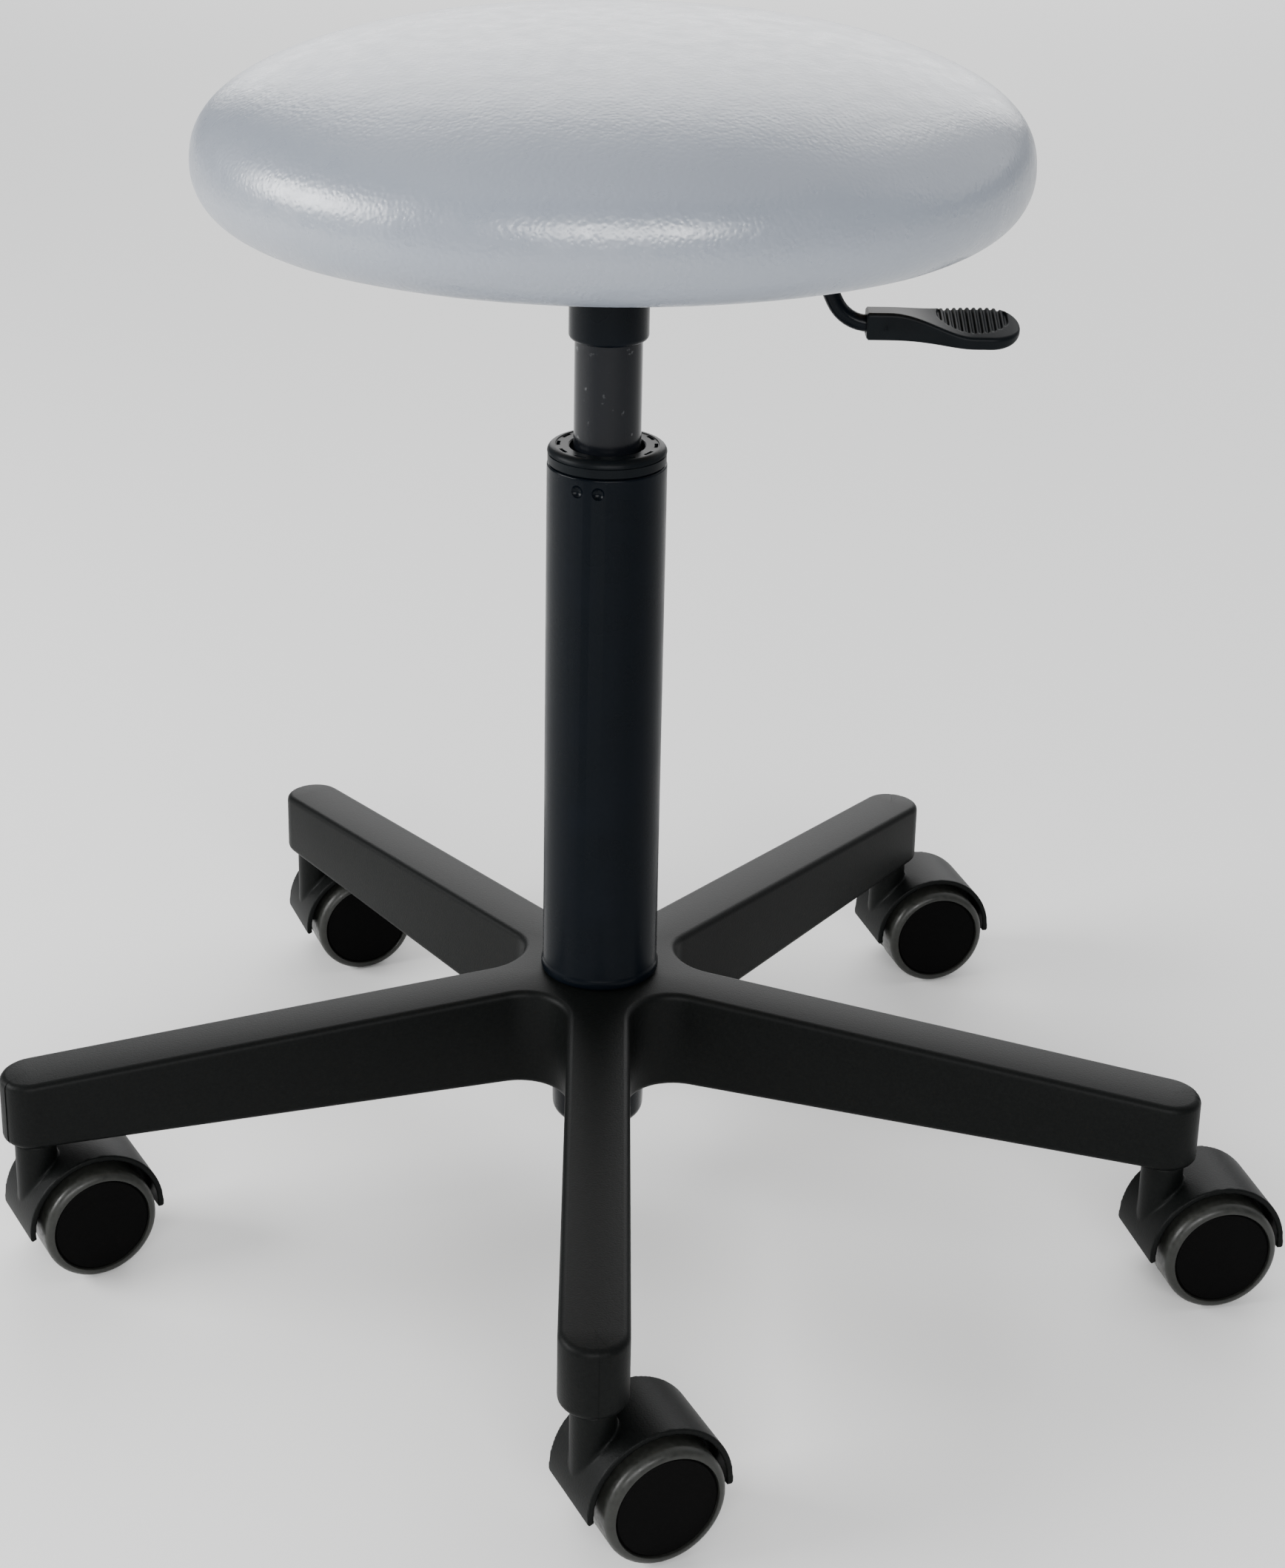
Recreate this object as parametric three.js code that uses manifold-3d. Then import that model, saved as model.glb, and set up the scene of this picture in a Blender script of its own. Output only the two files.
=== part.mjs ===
// An adjustable swivel stool: a round padded seat on a gas-sprung column, a five-arm nylon base and five
// twin-wheel castors. Millimetres, +Z up. The front arm points along -Y and the release lever along +X.

import * as THREE from 'three';
import { mergeVertices } from 'three/addons/utils/BufferGeometryUtils.js';
import Module from 'manifold-3d';

const wasm = await Module();
wasm.setup();

// ---- Driving dimensions ----------------------------------------------------------------------------------

const CLEAR = 0.3; // gap between touching pieces
const RUN = 0.4; // radial gap of a piece that turns or slides in another
const CHAMFER = 1; // small broken edges
const FINE_CHAMFER = 0.5;
const THROUGH = 1; // how far a cutting tool runs past what it cuts
const MERGE_DISTANCE = 1e-4; // corners of one geometry closer than this are one corner
const ROUND = 28; // facets of a large round piece
const SMALL_ROUND = 14; // facets of a small round piece
const TINY_ROUND = 10; // facets of a pin or a bolt

// Castors
const WHEEL_RADIUS = 25;
const WHEEL_INNER_FACE = 5; // from the castor's middle plane
const WHEEL_OUTER_FACE = 23.2;
const WHEEL_EDGE_ROUND = 3;
const WHEEL_TREAD = 3.8; // from the cap's edge to the tread's surface
const WHEEL_CAP_STEP = 0.6;
const WHEEL_FACETS = 20;
const AXLE_RADIUS = 3;
const AXLE_IN_WHEEL = 12; // depth of the blind axle hole in each wheel
const AXLE_BOSS_WALL = 3.9;
const TRAIL = 20; // from the stem's axis back to the axle
const HOOD_GAP = 2.3; // over the tread
const HOOD_WALL = 2.5;
const HOOD_RADIUS = WHEEL_RADIUS + HOOD_GAP + HOOD_WALL;
const HOOD_HALF_WIDTH = 17.5;
const HOOD_REAR_ANGLE = -4; // degrees above the axle, at the trailing end
const HOOD_FRONT_ANGLE = 185;
const HOOD_FACETS = 14;
const WEB_HALF_THICKNESS = 4;
const STEM_RADIUS = 5.5;
const STEM_IN_NECK = 12.5;
const STEM_IN_ARM = 22;
const STEM_FLANGE = 0.9;
const STEM_FLANGE_WIDTH = 1.7;
const NECK_WALL = 3.25;
const NECK_RADIUS = STEM_RADIUS + NECK_WALL;
const NECK_ABOVE_HOOD = 6.3;
const NECK_TOP = WHEEL_RADIUS + HOOD_RADIUS + NECK_ABOVE_HOOD;

// Five-arm base
const ARMS = 5;
const ARM_REACH = 250; // from the column's axis to the castor stem's
const ARM_HALF_WIDTH = 13.4;
const ARM_TIP_BOTTOM = NECK_TOP + CLEAR + STEM_FLANGE + CLEAR;
const ARM_TIP_HEIGHT = 30.6;
const ARM_TIP_TOP = ARM_TIP_BOTTOM + ARM_TIP_HEIGHT;
const HUB_BELOW_TIPS = 1.4;
const HUB_BOTTOM = ARM_TIP_BOTTOM - HUB_BELOW_TIPS;
const HUB_HEIGHT = 46;
const HUB_TOP = HUB_BOTTOM + HUB_HEIGHT;
const HUB_LAND = 1; // flat ring round the column's foot
const HUB_WALL = 5; // round the column's spigot
const ARM_FILLET = 20; // between neighbouring arms
const ARM_EDGE_ROUND = 3;
const ARM_WALL = 3.5;
const ARM_ROOF = 4;
const ARM_RIBS = 4;
const RIB_THICKNESS = 2.5;
const SOCKET_WALL = 3.6; // round the castor stem

// Column
const COLUMN_RADIUS = 25;
const COLUMN_WALL = 2;
const COLUMN_HEIGHT = 233.4; // above the hub
const COLUMN_TOP = HUB_TOP + COLUMN_HEIGHT;
const COLUMN_BEAD = 0.7; // how far the rolled foot bead stands out
const COLUMN_BEAD_HEIGHT = 4;
const SPIGOT_STEP = 3; // from the column's wall in to the spigot
const SPIGOT_TAPER = 1.8;
const SPIGOT_BELOW_HUB = 26.8;
const SPIGOT_EDGE_ROUND = 5;
const SPIGOT_TOP_RADIUS = COLUMN_RADIUS - SPIGOT_STEP;
const SPIGOT_BOTTOM_RADIUS = SPIGOT_TOP_RADIUS - SPIGOT_TAPER;
const SPIGOT_BOTTOM = HUB_BOTTOM - SPIGOT_BELOW_HUB;
const BOTTOM_PLATE = 2.5;
const BUSH_LENGTH = 73; // inside the tube
const BUSH_HEAD = 7.5;
const BUSH_HEAD_ROUND = 3.2;
const BUSH_MOUTH_GAP = 1.7; // wider mouth round the sliding tube
const BUSH_MOUTH_DEPTH = 3.5;
const DIMPLE_RADIUS = 3.2; // of the crimping punch
const DIMPLE_DEPTH = 1.2;
const DIMPLE_BELOW_TOP = 6;
const DIMPLE_PAIRS = 3;
const DIMPLE_PAIR_ANGLE = -108.5; // degrees from +X to the middle of the first pair
const DIMPLE_HALF_SPACING = 10.5; // degrees from a pair's middle to each dimple

// Gas spring
const RISE = 150; // how far the seat rises from its height as modelled
const DROP = 30; // and how far it drops
const ROD_RADIUS = 5;
const ROD_STEP = 1; // from the rod down to its thinner ends
const ROD_END_RADIUS = ROD_RADIUS - ROD_STEP;
const ROD_BELOW_SPIGOT = 4.7;
const PISTON_LENGTH = 12;
const PISTON_GAP = 2.7; // left over the seal with the seat right up
const ROD_ABOVE_PISTON = 2;
const CLIP_THICKNESS = 1.5;
const CLIP_RADIUS = 8;
const CLIP_GROOVE = 0.8;
const CLIP_MOUTH = 0.8; // width of the clip's mouth for each width of its bore
const BEARING_GAP = 1; // round the bearing, inside the rounded spigot end
const BEARING_RADIUS = SPIGOT_BOTTOM_RADIUS - SPIGOT_EDGE_ROUND - BEARING_GAP;
const BEARING_WASHER = 2;
const BALL_RADIUS = 2;
const BALLS = 8;
const CAGE_THICKNESS = 1.4;
const BUFFER_HEIGHT = 28.6;
const BUFFER_GAP = 0.5; // left under the tube with the seat right down
const TUBE_RADIUS = 14;
const TUBE_WALL = 2;
const TUBE_LIP = 2.5;
const TUBE_END_WALL = 2.6;
const TUBE_TAPER = 0.6;
const TUBE_SHOWING = 45.1; // between the bush and the taper sleeve
const TAPER_TOP_RADIUS = TUBE_RADIUS - TUBE_TAPER;
const SEAL_HEIGHT = 20;
const VALVE_HEIGHT = 22;
const BUTTON_PIN_RADIUS = 2.2;
const BUTTON_PIN_SHORT = 5; // from the valve body's foot up to the pin's
const BUTTON_HEAD_RADIUS = 4.2;
const BUTTON_HEAD = 3.9;
const BUTTON_MOUTH_GAP = 0.8;

// Seat support
const SLEEVE_WALL = 2.5;
const SLEEVE_RADIUS = TUBE_RADIUS + SLEEVE_WALL;
const SLEEVE_BOTTOM = COLUMN_TOP + CLEAR + BUSH_HEAD + TUBE_SHOWING;
const SLEEVE_BELOW_PAN = 32.1;
const SLEEVE_EDGE_ROUND = 2;
const TAPER_BELOW_SLEEVE = 3;
const SHEET = 2.5; // steel sheet of the seat pan
const PAN_RADIUS = 57;
const PAN_FLANGE = 20;
const PAN_DEPTH = 22.7;
const PAN_FLOOR = SLEEVE_BOTTOM + SLEEVE_BELOW_PAN;
const PAN_TOP = PAN_FLOOR + PAN_DEPTH;
const TUBE_ABOVE_PAN = 3;
const TUBE_TOP = PAN_FLOOR + TUBE_ABOVE_PAN;

// Lever
const LEVER_RADIUS = 3.5;
const LEVER_ABOVE_PAN = 12.1; // from the pan's floor to the rod's axis
const LEVER_HEIGHT = PAN_FLOOR + LEVER_ABOVE_PAN;
const LEVER_PAST_BUTTON = 6; // from the column's axis to the rod's inner end
const LEVER_SLOT_GAP = 2.5; // beside the rod in the pan's wall
const PIVOT_INSIDE_PAN = 10;
const LEVER_PIVOT = PAN_RADIUS - PIVOT_INSIDE_PAN;
const PIVOT_RADIUS = 2;
const PIVOT_HEAD = 1.5;
const PIVOT_EYE_RADIUS = 5;
const PIVOT_EYE_HALF_WIDTH = 4.5;
const LUG_THICKNESS = 2;
const LUG_HALF_LENGTH = 6;
const LUG_ABOVE_PIVOT = 4.5;
const BEND_CLEAR_OF_PAN = 10.9; // from the pan's wall to the start of the first bend
const BEND_RADIUS = 16;
const BEND_ANGLE = 65; // degrees below the horizontal
const BEND_STEPS = 4;
const LEVER_DROP = 36.6; // from the rod's inner run down to its outer one
const GRIP_OVER_BEND = 1.5; // how far the grip's socket laps the second bend
const GRIP_LENGTH = 62.2;
const GRIP_HOLE_DEPTH = 14;
const GRIP_SOCKET_HALF_WIDTH = 6.2;
const GRIP_SOCKET_HALF_HEIGHT = 5.7;
const GRIP_PADDLE_HALF_WIDTH = 12.6;
const GRIP_PADDLE_HALF_HEIGHT = 2.8;
const GRIP_PADDLE_DROP = 1.6;
const GRIP_TILT = 17; // degrees that the paddle leans forwards
const GRIP_SWELL = [0.15, 0.7]; // where the socket turns into the paddle, along the grip's length
const GRIP_END_ROUND = 0.2; // share of the length in the round end
const GRIP_END_BLUNT = 0.02; // keeps a small flat at the very tip
const GRIP_CORNER_POWER = 0.6; // a half-and-half blend of an ellipse and a box
const GRIP_SECTIONS = 12;
const GRIP_SIDES = 16;

// Seat
const SEAT_RADIUS = 170;
const SEAT_HEIGHT = 73.8;
const SEAT_UNDER_HEIGHT = 20.2; // from the underside to the widest ring
const SEAT_UNDER_ROUND = 20;
const SEAT_BOTTOM_RADIUS = SEAT_RADIUS - SEAT_UNDER_ROUND;
const SEAT_CROWN_POWER = 2.45; // superellipse power of the crown
const SEAT_CROWN_STEPS = 7;
const COVER_THICKNESS = 1.2;
const COVER_TURN_UNDER = 14; // how far the cover is stapled in under the board
const SEAT_BOTTOM = PAN_TOP - COVER_THICKNESS;
const SEAT_WIDEST = SEAT_BOTTOM + SEAT_UNDER_HEIGHT;
const SEAT_TOP = SEAT_BOTTOM + SEAT_HEIGHT;
const BOARD_THICKNESS = 12;
const BOLT_CIRCLE = PAN_RADIUS + PAN_FLANGE / 2;
const BOLTS = 4;
const FIRST_BOLT_ANGLE = 45;
const BOLT_RADIUS = 3;
const BOLT_HEAD_RADIUS = 5.5;
const BOLT_HEAD = 3.5;
const TEE_NUT_RADIUS = 9;
const TEE_NUT_FLANGE = 1.2;
const TEE_NUT_BARREL = 1.2; // wall of the barrel
const TEE_NUT_DEPTH = 8.4; // of the barrel in the board
const TEE_NUT_POCKET = 4; // left in the foam over the flange

// ---- Finishes --------------------------------------------------------------------------------------------

const FINISHES = {
  vinyl: { color: 0xb9c0c6, roughness: 0.42, metalness: 0 },
  foam: { color: 0xe6dfc8, roughness: 0.95, metalness: 0 },
  plywood: { color: 0xb98f5f, roughness: 0.7, metalness: 0 },
  nylon: { color: 0x2b2d2d, roughness: 0.62, metalness: 0 },
  paintedSteel: { color: 0x141517, roughness: 0.38, metalness: 0.2 },
  blackSteel: { color: 0x24262a, roughness: 0.3, metalness: 0.6 },
  zincSteel: { color: 0xaeb2b5, roughness: 0.35, metalness: 0.9 },
  blackPlastic: { color: 0x17181a, roughness: 0.5, metalness: 0 },
  rubber: { color: 0x3a3b3a, roughness: 0.7, metalness: 0 },
};

// ---- Geometry helpers ------------------------------------------------------------------------------------

// A manifold solid from a closed three.js geometry, with its seams and poles merged.
function solid(geometry) {
  const bare = new THREE.BufferGeometry();
  bare.setAttribute('position', geometry.getAttribute('position').clone());
  bare.setIndex(geometry.index ? geometry.index.clone() : null);
  const merged = mergeVertices(bare, MERGE_DISTANCE);
  const index = merged.index.array;
  const corners = [];
  for (let i = 0; i < index.length; i += 3) {
    const [a, b, c] = [index[i], index[i + 1], index[i + 2]];
    if (a !== b && b !== c && c !== a) corners.push(a, b, c);
  }
  const vertProperties = merged.getAttribute('position').array;
  return new wasm.Manifold(new wasm.Mesh({ numProp: 3, vertProperties, triVerts: new Uint32Array(corners) }));
}

// The three.js geometry of a manifold solid.
function geometryOf(body) {
  const mesh = body.getMesh();
  const geometry = new THREE.BufferGeometry();
  geometry.setAttribute('position', new THREE.BufferAttribute(mesh.vertProperties, 3));
  geometry.setIndex(new THREE.BufferAttribute(mesh.triVerts, 1));
  return geometry;
}

// A solid of revolution about Z. The profile's [radius, height] points run anticlockwise: up the outside.
function turned(profile, facets = ROUND) {
  const onAxis = profile[0][0] === 0;
  const points = (onAxis ? profile : [...profile, profile[0]]).map(([r, z]) => new THREE.Vector2(r, z));
  return solid(new THREE.LatheGeometry(points, facets).rotateX(Math.PI / 2));
}

// A plain cylinder from one height to another.
function disc(radius, low, high, facets = ROUND) {
  return turned([[0, low], [radius, low], [radius, high], [0, high]], facets);
}

// A flat ring or tube.
function ring(inner, outer, low, high, facets = ROUND) {
  return turned([[inner, low], [outer, low], [outer, high], [inner, high]], facets);
}

// A box given by its lowest and highest corners.
function block([x0, y0, z0], [x1, y1, z1]) {
  const box = new THREE.BoxGeometry(x1 - x0, y1 - y0, z1 - z0);
  return solid(box.translate((x0 + x1) / 2, (y0 + y1) / 2, (z0 + z1) / 2));
}

// Points of a quarter or other arc in a profile, centred on [r, z], angles in degrees.
function arc([r, z], radiusR, radiusZ, from, to, steps) {
  const points = [];
  for (let i = 0; i <= steps; i += 1) {
    const angle = THREE.MathUtils.degToRad(from + ((to - from) * i) / steps);
    points.push([r + radiusR * Math.cos(angle), z + radiusZ * Math.sin(angle)]);
  }
  return points;
}

// A solid lofted through rings of Vector3, each with the same number of points.
function loft(rings) {
  const count = rings[0].length;
  const positions = rings.flat().flatMap((p) => [p.x, p.y, p.z]);
  const faces = [];
  for (let i = 0; i + 1 < rings.length; i += 1) {
    for (let j = 0; j < count; j += 1) {
      const a = i * count + j;
      const b = i * count + ((j + 1) % count);
      faces.push(a, b, b + count, a, b + count, a + count);
    }
  }
  const last = (rings.length - 1) * count;
  for (let j = 1; j + 1 < count; j += 1) {
    faces.push(0, j + 1, j);
    faces.push(last, last + j, last + j + 1);
  }
  const geometry = new THREE.BufferGeometry();
  geometry.setAttribute('position', new THREE.Float32BufferAttribute(positions, 3));
  geometry.setIndex(faces);
  return solid(geometry);
}

function union(bodies) {
  return bodies.reduce((sum, body) => sum.add(body));
}

const stool = new THREE.Group();

// Adds a named mesh of one solid to a group.
function part(name, finish, body, group = stool) {
  const mesh = new THREE.Mesh(geometryOf(body), new THREE.MeshStandardMaterial(FINISHES[finish]));
  mesh.name = name;
  group.add(mesh);
}

// The direction of an arm in degrees from +X: the first arm points along -Y, the next towards +X.
const armAngle = (arm) => -90 + (360 / ARMS) * arm;

// A point at a radius and an angle in degrees from +X.
function polar(radius, degrees, height = 0) {
  const angle = THREE.MathUtils.degToRad(degrees);
  return new THREE.Vector3(radius * Math.cos(angle), radius * Math.sin(angle), height);
}

// ---- Five-arm base ---------------------------------------------------------------------------------------

const hubFlat = COLUMN_RADIUS + HUB_LAND;

// Heights of the base's upper and lower skin: both run straight from the hub out to the arm tips.
function armTop(radius) {
  const along = Math.max(0, (radius - hubFlat) / (ARM_REACH - hubFlat));
  return HUB_TOP - (HUB_TOP - ARM_TIP_TOP) * along;
}
const armBottom = (radius) => HUB_BOTTOM + ((ARM_TIP_BOTTOM - HUB_BOTTOM) * radius) / ARM_REACH;

// The star's plan: round arm ends, joined by a concave fillet between each two arms.
function starShape(halfWidth, fillet) {
  const shape = new THREE.Shape();
  const step = 360 / ARMS;
  const rad = THREE.MathUtils.degToRad;
  const filletCentre = (halfWidth + fillet) / Math.sin(rad(step / 2));
  for (let arm = 0; arm < ARMS; arm += 1) {
    const angle = armAngle(arm);
    const tip = polar(ARM_REACH, angle);
    const bay = polar(filletCentre, angle + step / 2);
    shape.absarc(tip.x, tip.y, halfWidth, rad(angle - 90), rad(angle + 90), false);
    shape.absarc(bay.x, bay.y, fillet, rad(angle - 90), rad(angle + step + 90), true);
  }
  return shape;
}

// The star's plan as a solid between the two skins, drawn in by `roof` above and let down by `below`.
function starSolid(halfWidth, fillet, edgeRound, roof, below) {
  const height = HUB_TOP - HUB_BOTTOM;
  const geometry = new THREE.ExtrudeGeometry(starShape(halfWidth, fillet), {
    depth: height - 2 * edgeRound,
    bevelEnabled: edgeRound > 0,
    bevelThickness: edgeRound,
    bevelSize: edgeRound,
    bevelOffset: -edgeRound,
    bevelSegments: 2,
    curveSegments: 3,
  }).translate(0, 0, edgeRound);
  const position = geometry.getAttribute('position');
  for (let i = 0; i < position.count; i += 1) {
    const radius = Math.hypot(position.getX(i), position.getY(i));
    const z = position.getZ(i);
    const upper = z > height / 2;
    position.setZ(i, upper ? armTop(radius) - roof - (height - z) : armBottom(radius) - below + z);
  }
  return solid(geometry);
}

// The bore of the hub, or the column's spigot, which both have the same taper.
function spigotRadius(height) {
  const along = (height - SPIGOT_BOTTOM) / (HUB_TOP - SPIGOT_BOTTOM);
  return SPIGOT_BOTTOM_RADIUS + (SPIGOT_TOP_RADIUS - SPIGOT_BOTTOM_RADIUS) * along;
}

function starBase() {
  const innerHalfWidth = ARM_HALF_WIDTH - ARM_WALL;
  const hollow = starSolid(innerHalfWidth, ARM_FILLET + ARM_WALL, 0, ARM_ROOF, ARM_WALL);
  const shell = starSolid(ARM_HALF_WIDTH, ARM_FILLET, ARM_EDGE_ROUND, 0, 0).subtract(hollow);
  const hub = disc(SPIGOT_TOP_RADIUS + HUB_WALL, HUB_BOTTOM + CLEAR, HUB_TOP - ARM_ROOF / 2);
  const pieces = [shell, hub];
  const cuts = [];
  const boreLow = HUB_BOTTOM - ARM_WALL;
  const boreHigh = HUB_TOP + ARM_WALL;
  cuts.push(turned([
    [0, boreLow],
    [spigotRadius(boreLow) + CLEAR, boreLow],
    [spigotRadius(boreHigh) + CLEAR, boreHigh],
    [0, boreHigh],
  ]));
  const socketRadius = STEM_RADIUS + CLEAR;
  for (let arm = 0; arm < ARMS; arm += 1) {
    const angle = armAngle(arm);
    const tip = polar(ARM_REACH, angle);
    const socket = disc(socketRadius + SOCKET_WALL, ARM_TIP_BOTTOM, ARM_TIP_TOP - ARM_ROOF / 2, SMALL_ROUND);
    const holeTop = ARM_TIP_BOTTOM + STEM_IN_ARM + CLEAR;
    const hole = disc(socketRadius, ARM_TIP_BOTTOM - ARM_WALL, holeTop, SMALL_ROUND);
    pieces.push(socket.translate([tip.x, tip.y, 0]));
    cuts.push(hole.translate([tip.x, tip.y, 0]));
    for (let rib = 1; rib <= ARM_RIBS; rib += 1) {
      const radius = hubFlat + ((ARM_REACH - hubFlat) * rib) / (ARM_RIBS + 1);
      const half = ARM_HALF_WIDTH - ARM_WALL / 2;
      const low = armBottom(radius) + ARM_WALL;
      const high = armTop(radius) - ARM_ROOF / 2;
      const wall = block([radius, -half, low], [radius + RIB_THICKNESS, half, high]);
      pieces.push(wall.rotate([0, 0, angle]));
    }
  }
  return union(pieces).subtract(union(cuts));
}

part('star_base', 'nylon', starBase());

// ---- Castors ---------------------------------------------------------------------------------------------

// Each castor's own place and the direction that it happens to trail in, in degrees from +X.
const CASTORS = [
  { name: 'front', trail: 25.5 },
  { name: 'right', trail: 12.9 },
  { name: 'back_right', trail: 16 },
  { name: 'back_left', trail: 21.4 },
  { name: 'left', trail: 29.5 },
];

// A solid of revolution about Y, with a flat facet underneath, at the castor's axle.
function turnedOnAxle(profile, facets) {
  const round = turned(profile, facets);
  return round.rotate([0, 0, 180 / facets + 90]).rotate([90, 0, 0]).translate([TRAIL, 0, WHEEL_RADIUS]);
}

// A cylinder on the castor's axle, from one side of its middle plane to the other.
function discOnAxle(radius, low, high, facets) {
  return turnedOnAxle([[0, low], [radius, low], [radius, high], [0, high]], facets);
}

// The hood's shell: a part-cylinder over both wheels, from its trailing end to its leading end.
function hoodShell(inner, outer, halfWidth) {
  const shape = new THREE.Shape();
  const from = THREE.MathUtils.degToRad(HOOD_REAR_ANGLE);
  const to = THREE.MathUtils.degToRad(HOOD_FRONT_ANGLE);
  shape.absarc(0, 0, outer, from, to, false);
  if (inner > 0) shape.absarc(0, 0, inner, to, from, true);
  const options = { depth: 2 * halfWidth, bevelEnabled: false, curveSegments: HOOD_FACETS / 2 };
  const geometry = new THREE.ExtrudeGeometry(shape, options).translate(0, 0, -halfWidth);
  return solid(geometry.rotateX(Math.PI / 2)).translate([TRAIL, 0, WHEEL_RADIUS]);
}

// The castor's housing: hood, middle web and swivel neck in one moulding.
function housing() {
  const inside = HOOD_RADIUS - HOOD_WALL;
  const neck = disc(NECK_RADIUS, WHEEL_RADIUS + FINE_CHAMFER, NECK_TOP, SMALL_ROUND);
  const shell = hoodShell(inside, HOOD_RADIUS, HOOD_HALF_WIDTH);
  const pocket = discOnAxle(inside, WEB_HALF_THICKNESS, HOOD_RADIUS, 2 * HOOD_FACETS);
  const web = hoodShell(0, HOOD_RADIUS - HOOD_WALL / 2, WEB_HALF_THICKNESS);
  const boss = discOnAxle(AXLE_RADIUS + AXLE_BOSS_WALL, -WEB_HALF_THICKNESS, WEB_HALF_THICKNESS, SMALL_ROUND);
  const axleHole = discOnAxle(AXLE_RADIUS + CLEAR, -HOOD_RADIUS, HOOD_RADIUS, SMALL_ROUND);
  const stemHoleLow = NECK_TOP - STEM_IN_NECK - CLEAR;
  const stemHole = disc(STEM_RADIUS + RUN, stemHoleLow, NECK_TOP + THROUGH, SMALL_ROUND);
  const trimmedNeck = neck.subtract(pocket).subtract(pocket.mirror([0, 1, 0]));
  return union([shell, trimmedNeck, web, boss]).subtract(axleHole).subtract(stemHole);
}

// A wheel: a nylon core with its tread bonded round it, closed by a cap outside and open to the axle inside.
function wheel() {
  const outerRound = arc(
    [WHEEL_RADIUS - WHEEL_EDGE_ROUND, WHEEL_OUTER_FACE - WHEEL_EDGE_ROUND],
    WHEEL_EDGE_ROUND, WHEEL_EDGE_ROUND, 0, 90, 2,
  );
  const capRadius = WHEEL_RADIUS - WHEEL_TREAD;
  const capFace = WHEEL_OUTER_FACE - WHEEL_CAP_STEP;
  const bore = AXLE_RADIUS + RUN;
  return turnedOnAxle([
    [0, WHEEL_INNER_FACE + AXLE_IN_WHEEL + CLEAR],
    [bore, WHEEL_INNER_FACE + AXLE_IN_WHEEL + CLEAR],
    [bore, WHEEL_INNER_FACE],
    [WHEEL_RADIUS - CHAMFER, WHEEL_INNER_FACE],
    [WHEEL_RADIUS, WHEEL_INNER_FACE + CHAMFER],
    ...outerRound,
    [capRadius, WHEEL_OUTER_FACE],
    [capRadius - WHEEL_CAP_STEP, capFace],
    [0, capFace],
  ], WHEEL_FACETS);
}

function stem() {
  const flangeLow = NECK_TOP + CLEAR;
  const flangeRadius = STEM_RADIUS + STEM_FLANGE_WIDTH;
  const high = ARM_TIP_BOTTOM + STEM_IN_ARM;
  return turned([
    [0, NECK_TOP - STEM_IN_NECK],
    [STEM_RADIUS, NECK_TOP - STEM_IN_NECK],
    [STEM_RADIUS, flangeLow],
    [flangeRadius, flangeLow],
    [flangeRadius, flangeLow + STEM_FLANGE],
    [STEM_RADIUS, flangeLow + STEM_FLANGE],
    [STEM_RADIUS, high - CHAMFER],
    [STEM_RADIUS - CHAMFER, high],
    [0, high],
  ], SMALL_ROUND);
}

function castor({ name, trail }, arm) {
  const group = new THREE.Group();
  group.position.copy(polar(ARM_REACH, armAngle(arm)));
  group.rotation.z = THREE.MathUtils.degToRad(trail);
  stool.add(group);
  const half = WHEEL_INNER_FACE + AXLE_IN_WHEEL;
  part(`stem_${name}`, 'zincSteel', stem(), group);
  part(`housing_${name}`, 'nylon', housing(), group);
  part(`axle_${name}`, 'zincSteel', discOnAxle(AXLE_RADIUS, -half, half, TINY_ROUND), group);
  part(`wheel_${name}_a`, 'rubber', wheel(), group);
  part(`wheel_${name}_b`, 'rubber', wheel().mirror([0, 1, 0]), group);
}

CASTORS.forEach(castor);

// ---- Column ----------------------------------------------------------------------------------------------

const plateTop = SPIGOT_BOTTOM + BOTTOM_PLATE;

function columnTube() {
  const foot = HUB_TOP + CLEAR;
  const inside = COLUMN_RADIUS - COLUMN_WALL;
  const beadRadius = COLUMN_RADIUS + COLUMN_BEAD;
  const bottomRound = arc(
    [SPIGOT_BOTTOM_RADIUS - SPIGOT_EDGE_ROUND, SPIGOT_BOTTOM + SPIGOT_EDGE_ROUND],
    SPIGOT_EDGE_ROUND, SPIGOT_EDGE_ROUND, -90, 0, 3,
  );
  const rodHole = ROD_END_RADIUS + RUN;
  const tube = turned([
    [rodHole, SPIGOT_BOTTOM],
    ...bottomRound,
    [spigotRadius(foot), foot],
    [COLUMN_RADIUS, foot],
    [beadRadius, foot + COLUMN_BEAD],
    [beadRadius, foot + COLUMN_BEAD_HEIGHT - COLUMN_BEAD],
    [COLUMN_RADIUS, foot + COLUMN_BEAD_HEIGHT],
    [COLUMN_RADIUS, COLUMN_TOP],
    [inside, COLUMN_TOP],
    [inside, foot + COLUMN_BEAD_HEIGHT],
    [spigotRadius(foot) - COLUMN_WALL, foot - COLUMN_WALL],
    [SPIGOT_BOTTOM_RADIUS - COLUMN_WALL, SPIGOT_BOTTOM + SPIGOT_EDGE_ROUND],
    [BEARING_RADIUS + BEARING_GAP, plateTop],
    [rodHole, plateTop],
  ]);
  const punch = solid(new THREE.SphereGeometry(DIMPLE_RADIUS, 8, 5));
  const punchCentre = COLUMN_RADIUS + DIMPLE_RADIUS - DIMPLE_DEPTH;
  const dimples = [];
  for (let pair = 0; pair < DIMPLE_PAIRS; pair += 1) {
    const middle = DIMPLE_PAIR_ANGLE + (360 / DIMPLE_PAIRS) * pair;
    for (const angle of [middle - DIMPLE_HALF_SPACING, middle + DIMPLE_HALF_SPACING]) {
      const place = polar(punchCentre, angle, COLUMN_TOP - DIMPLE_BELOW_TOP);
      dimples.push(punch.translate([place.x, place.y, place.z]));
    }
  }
  return tube.subtract(union(dimples));
}

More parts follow.
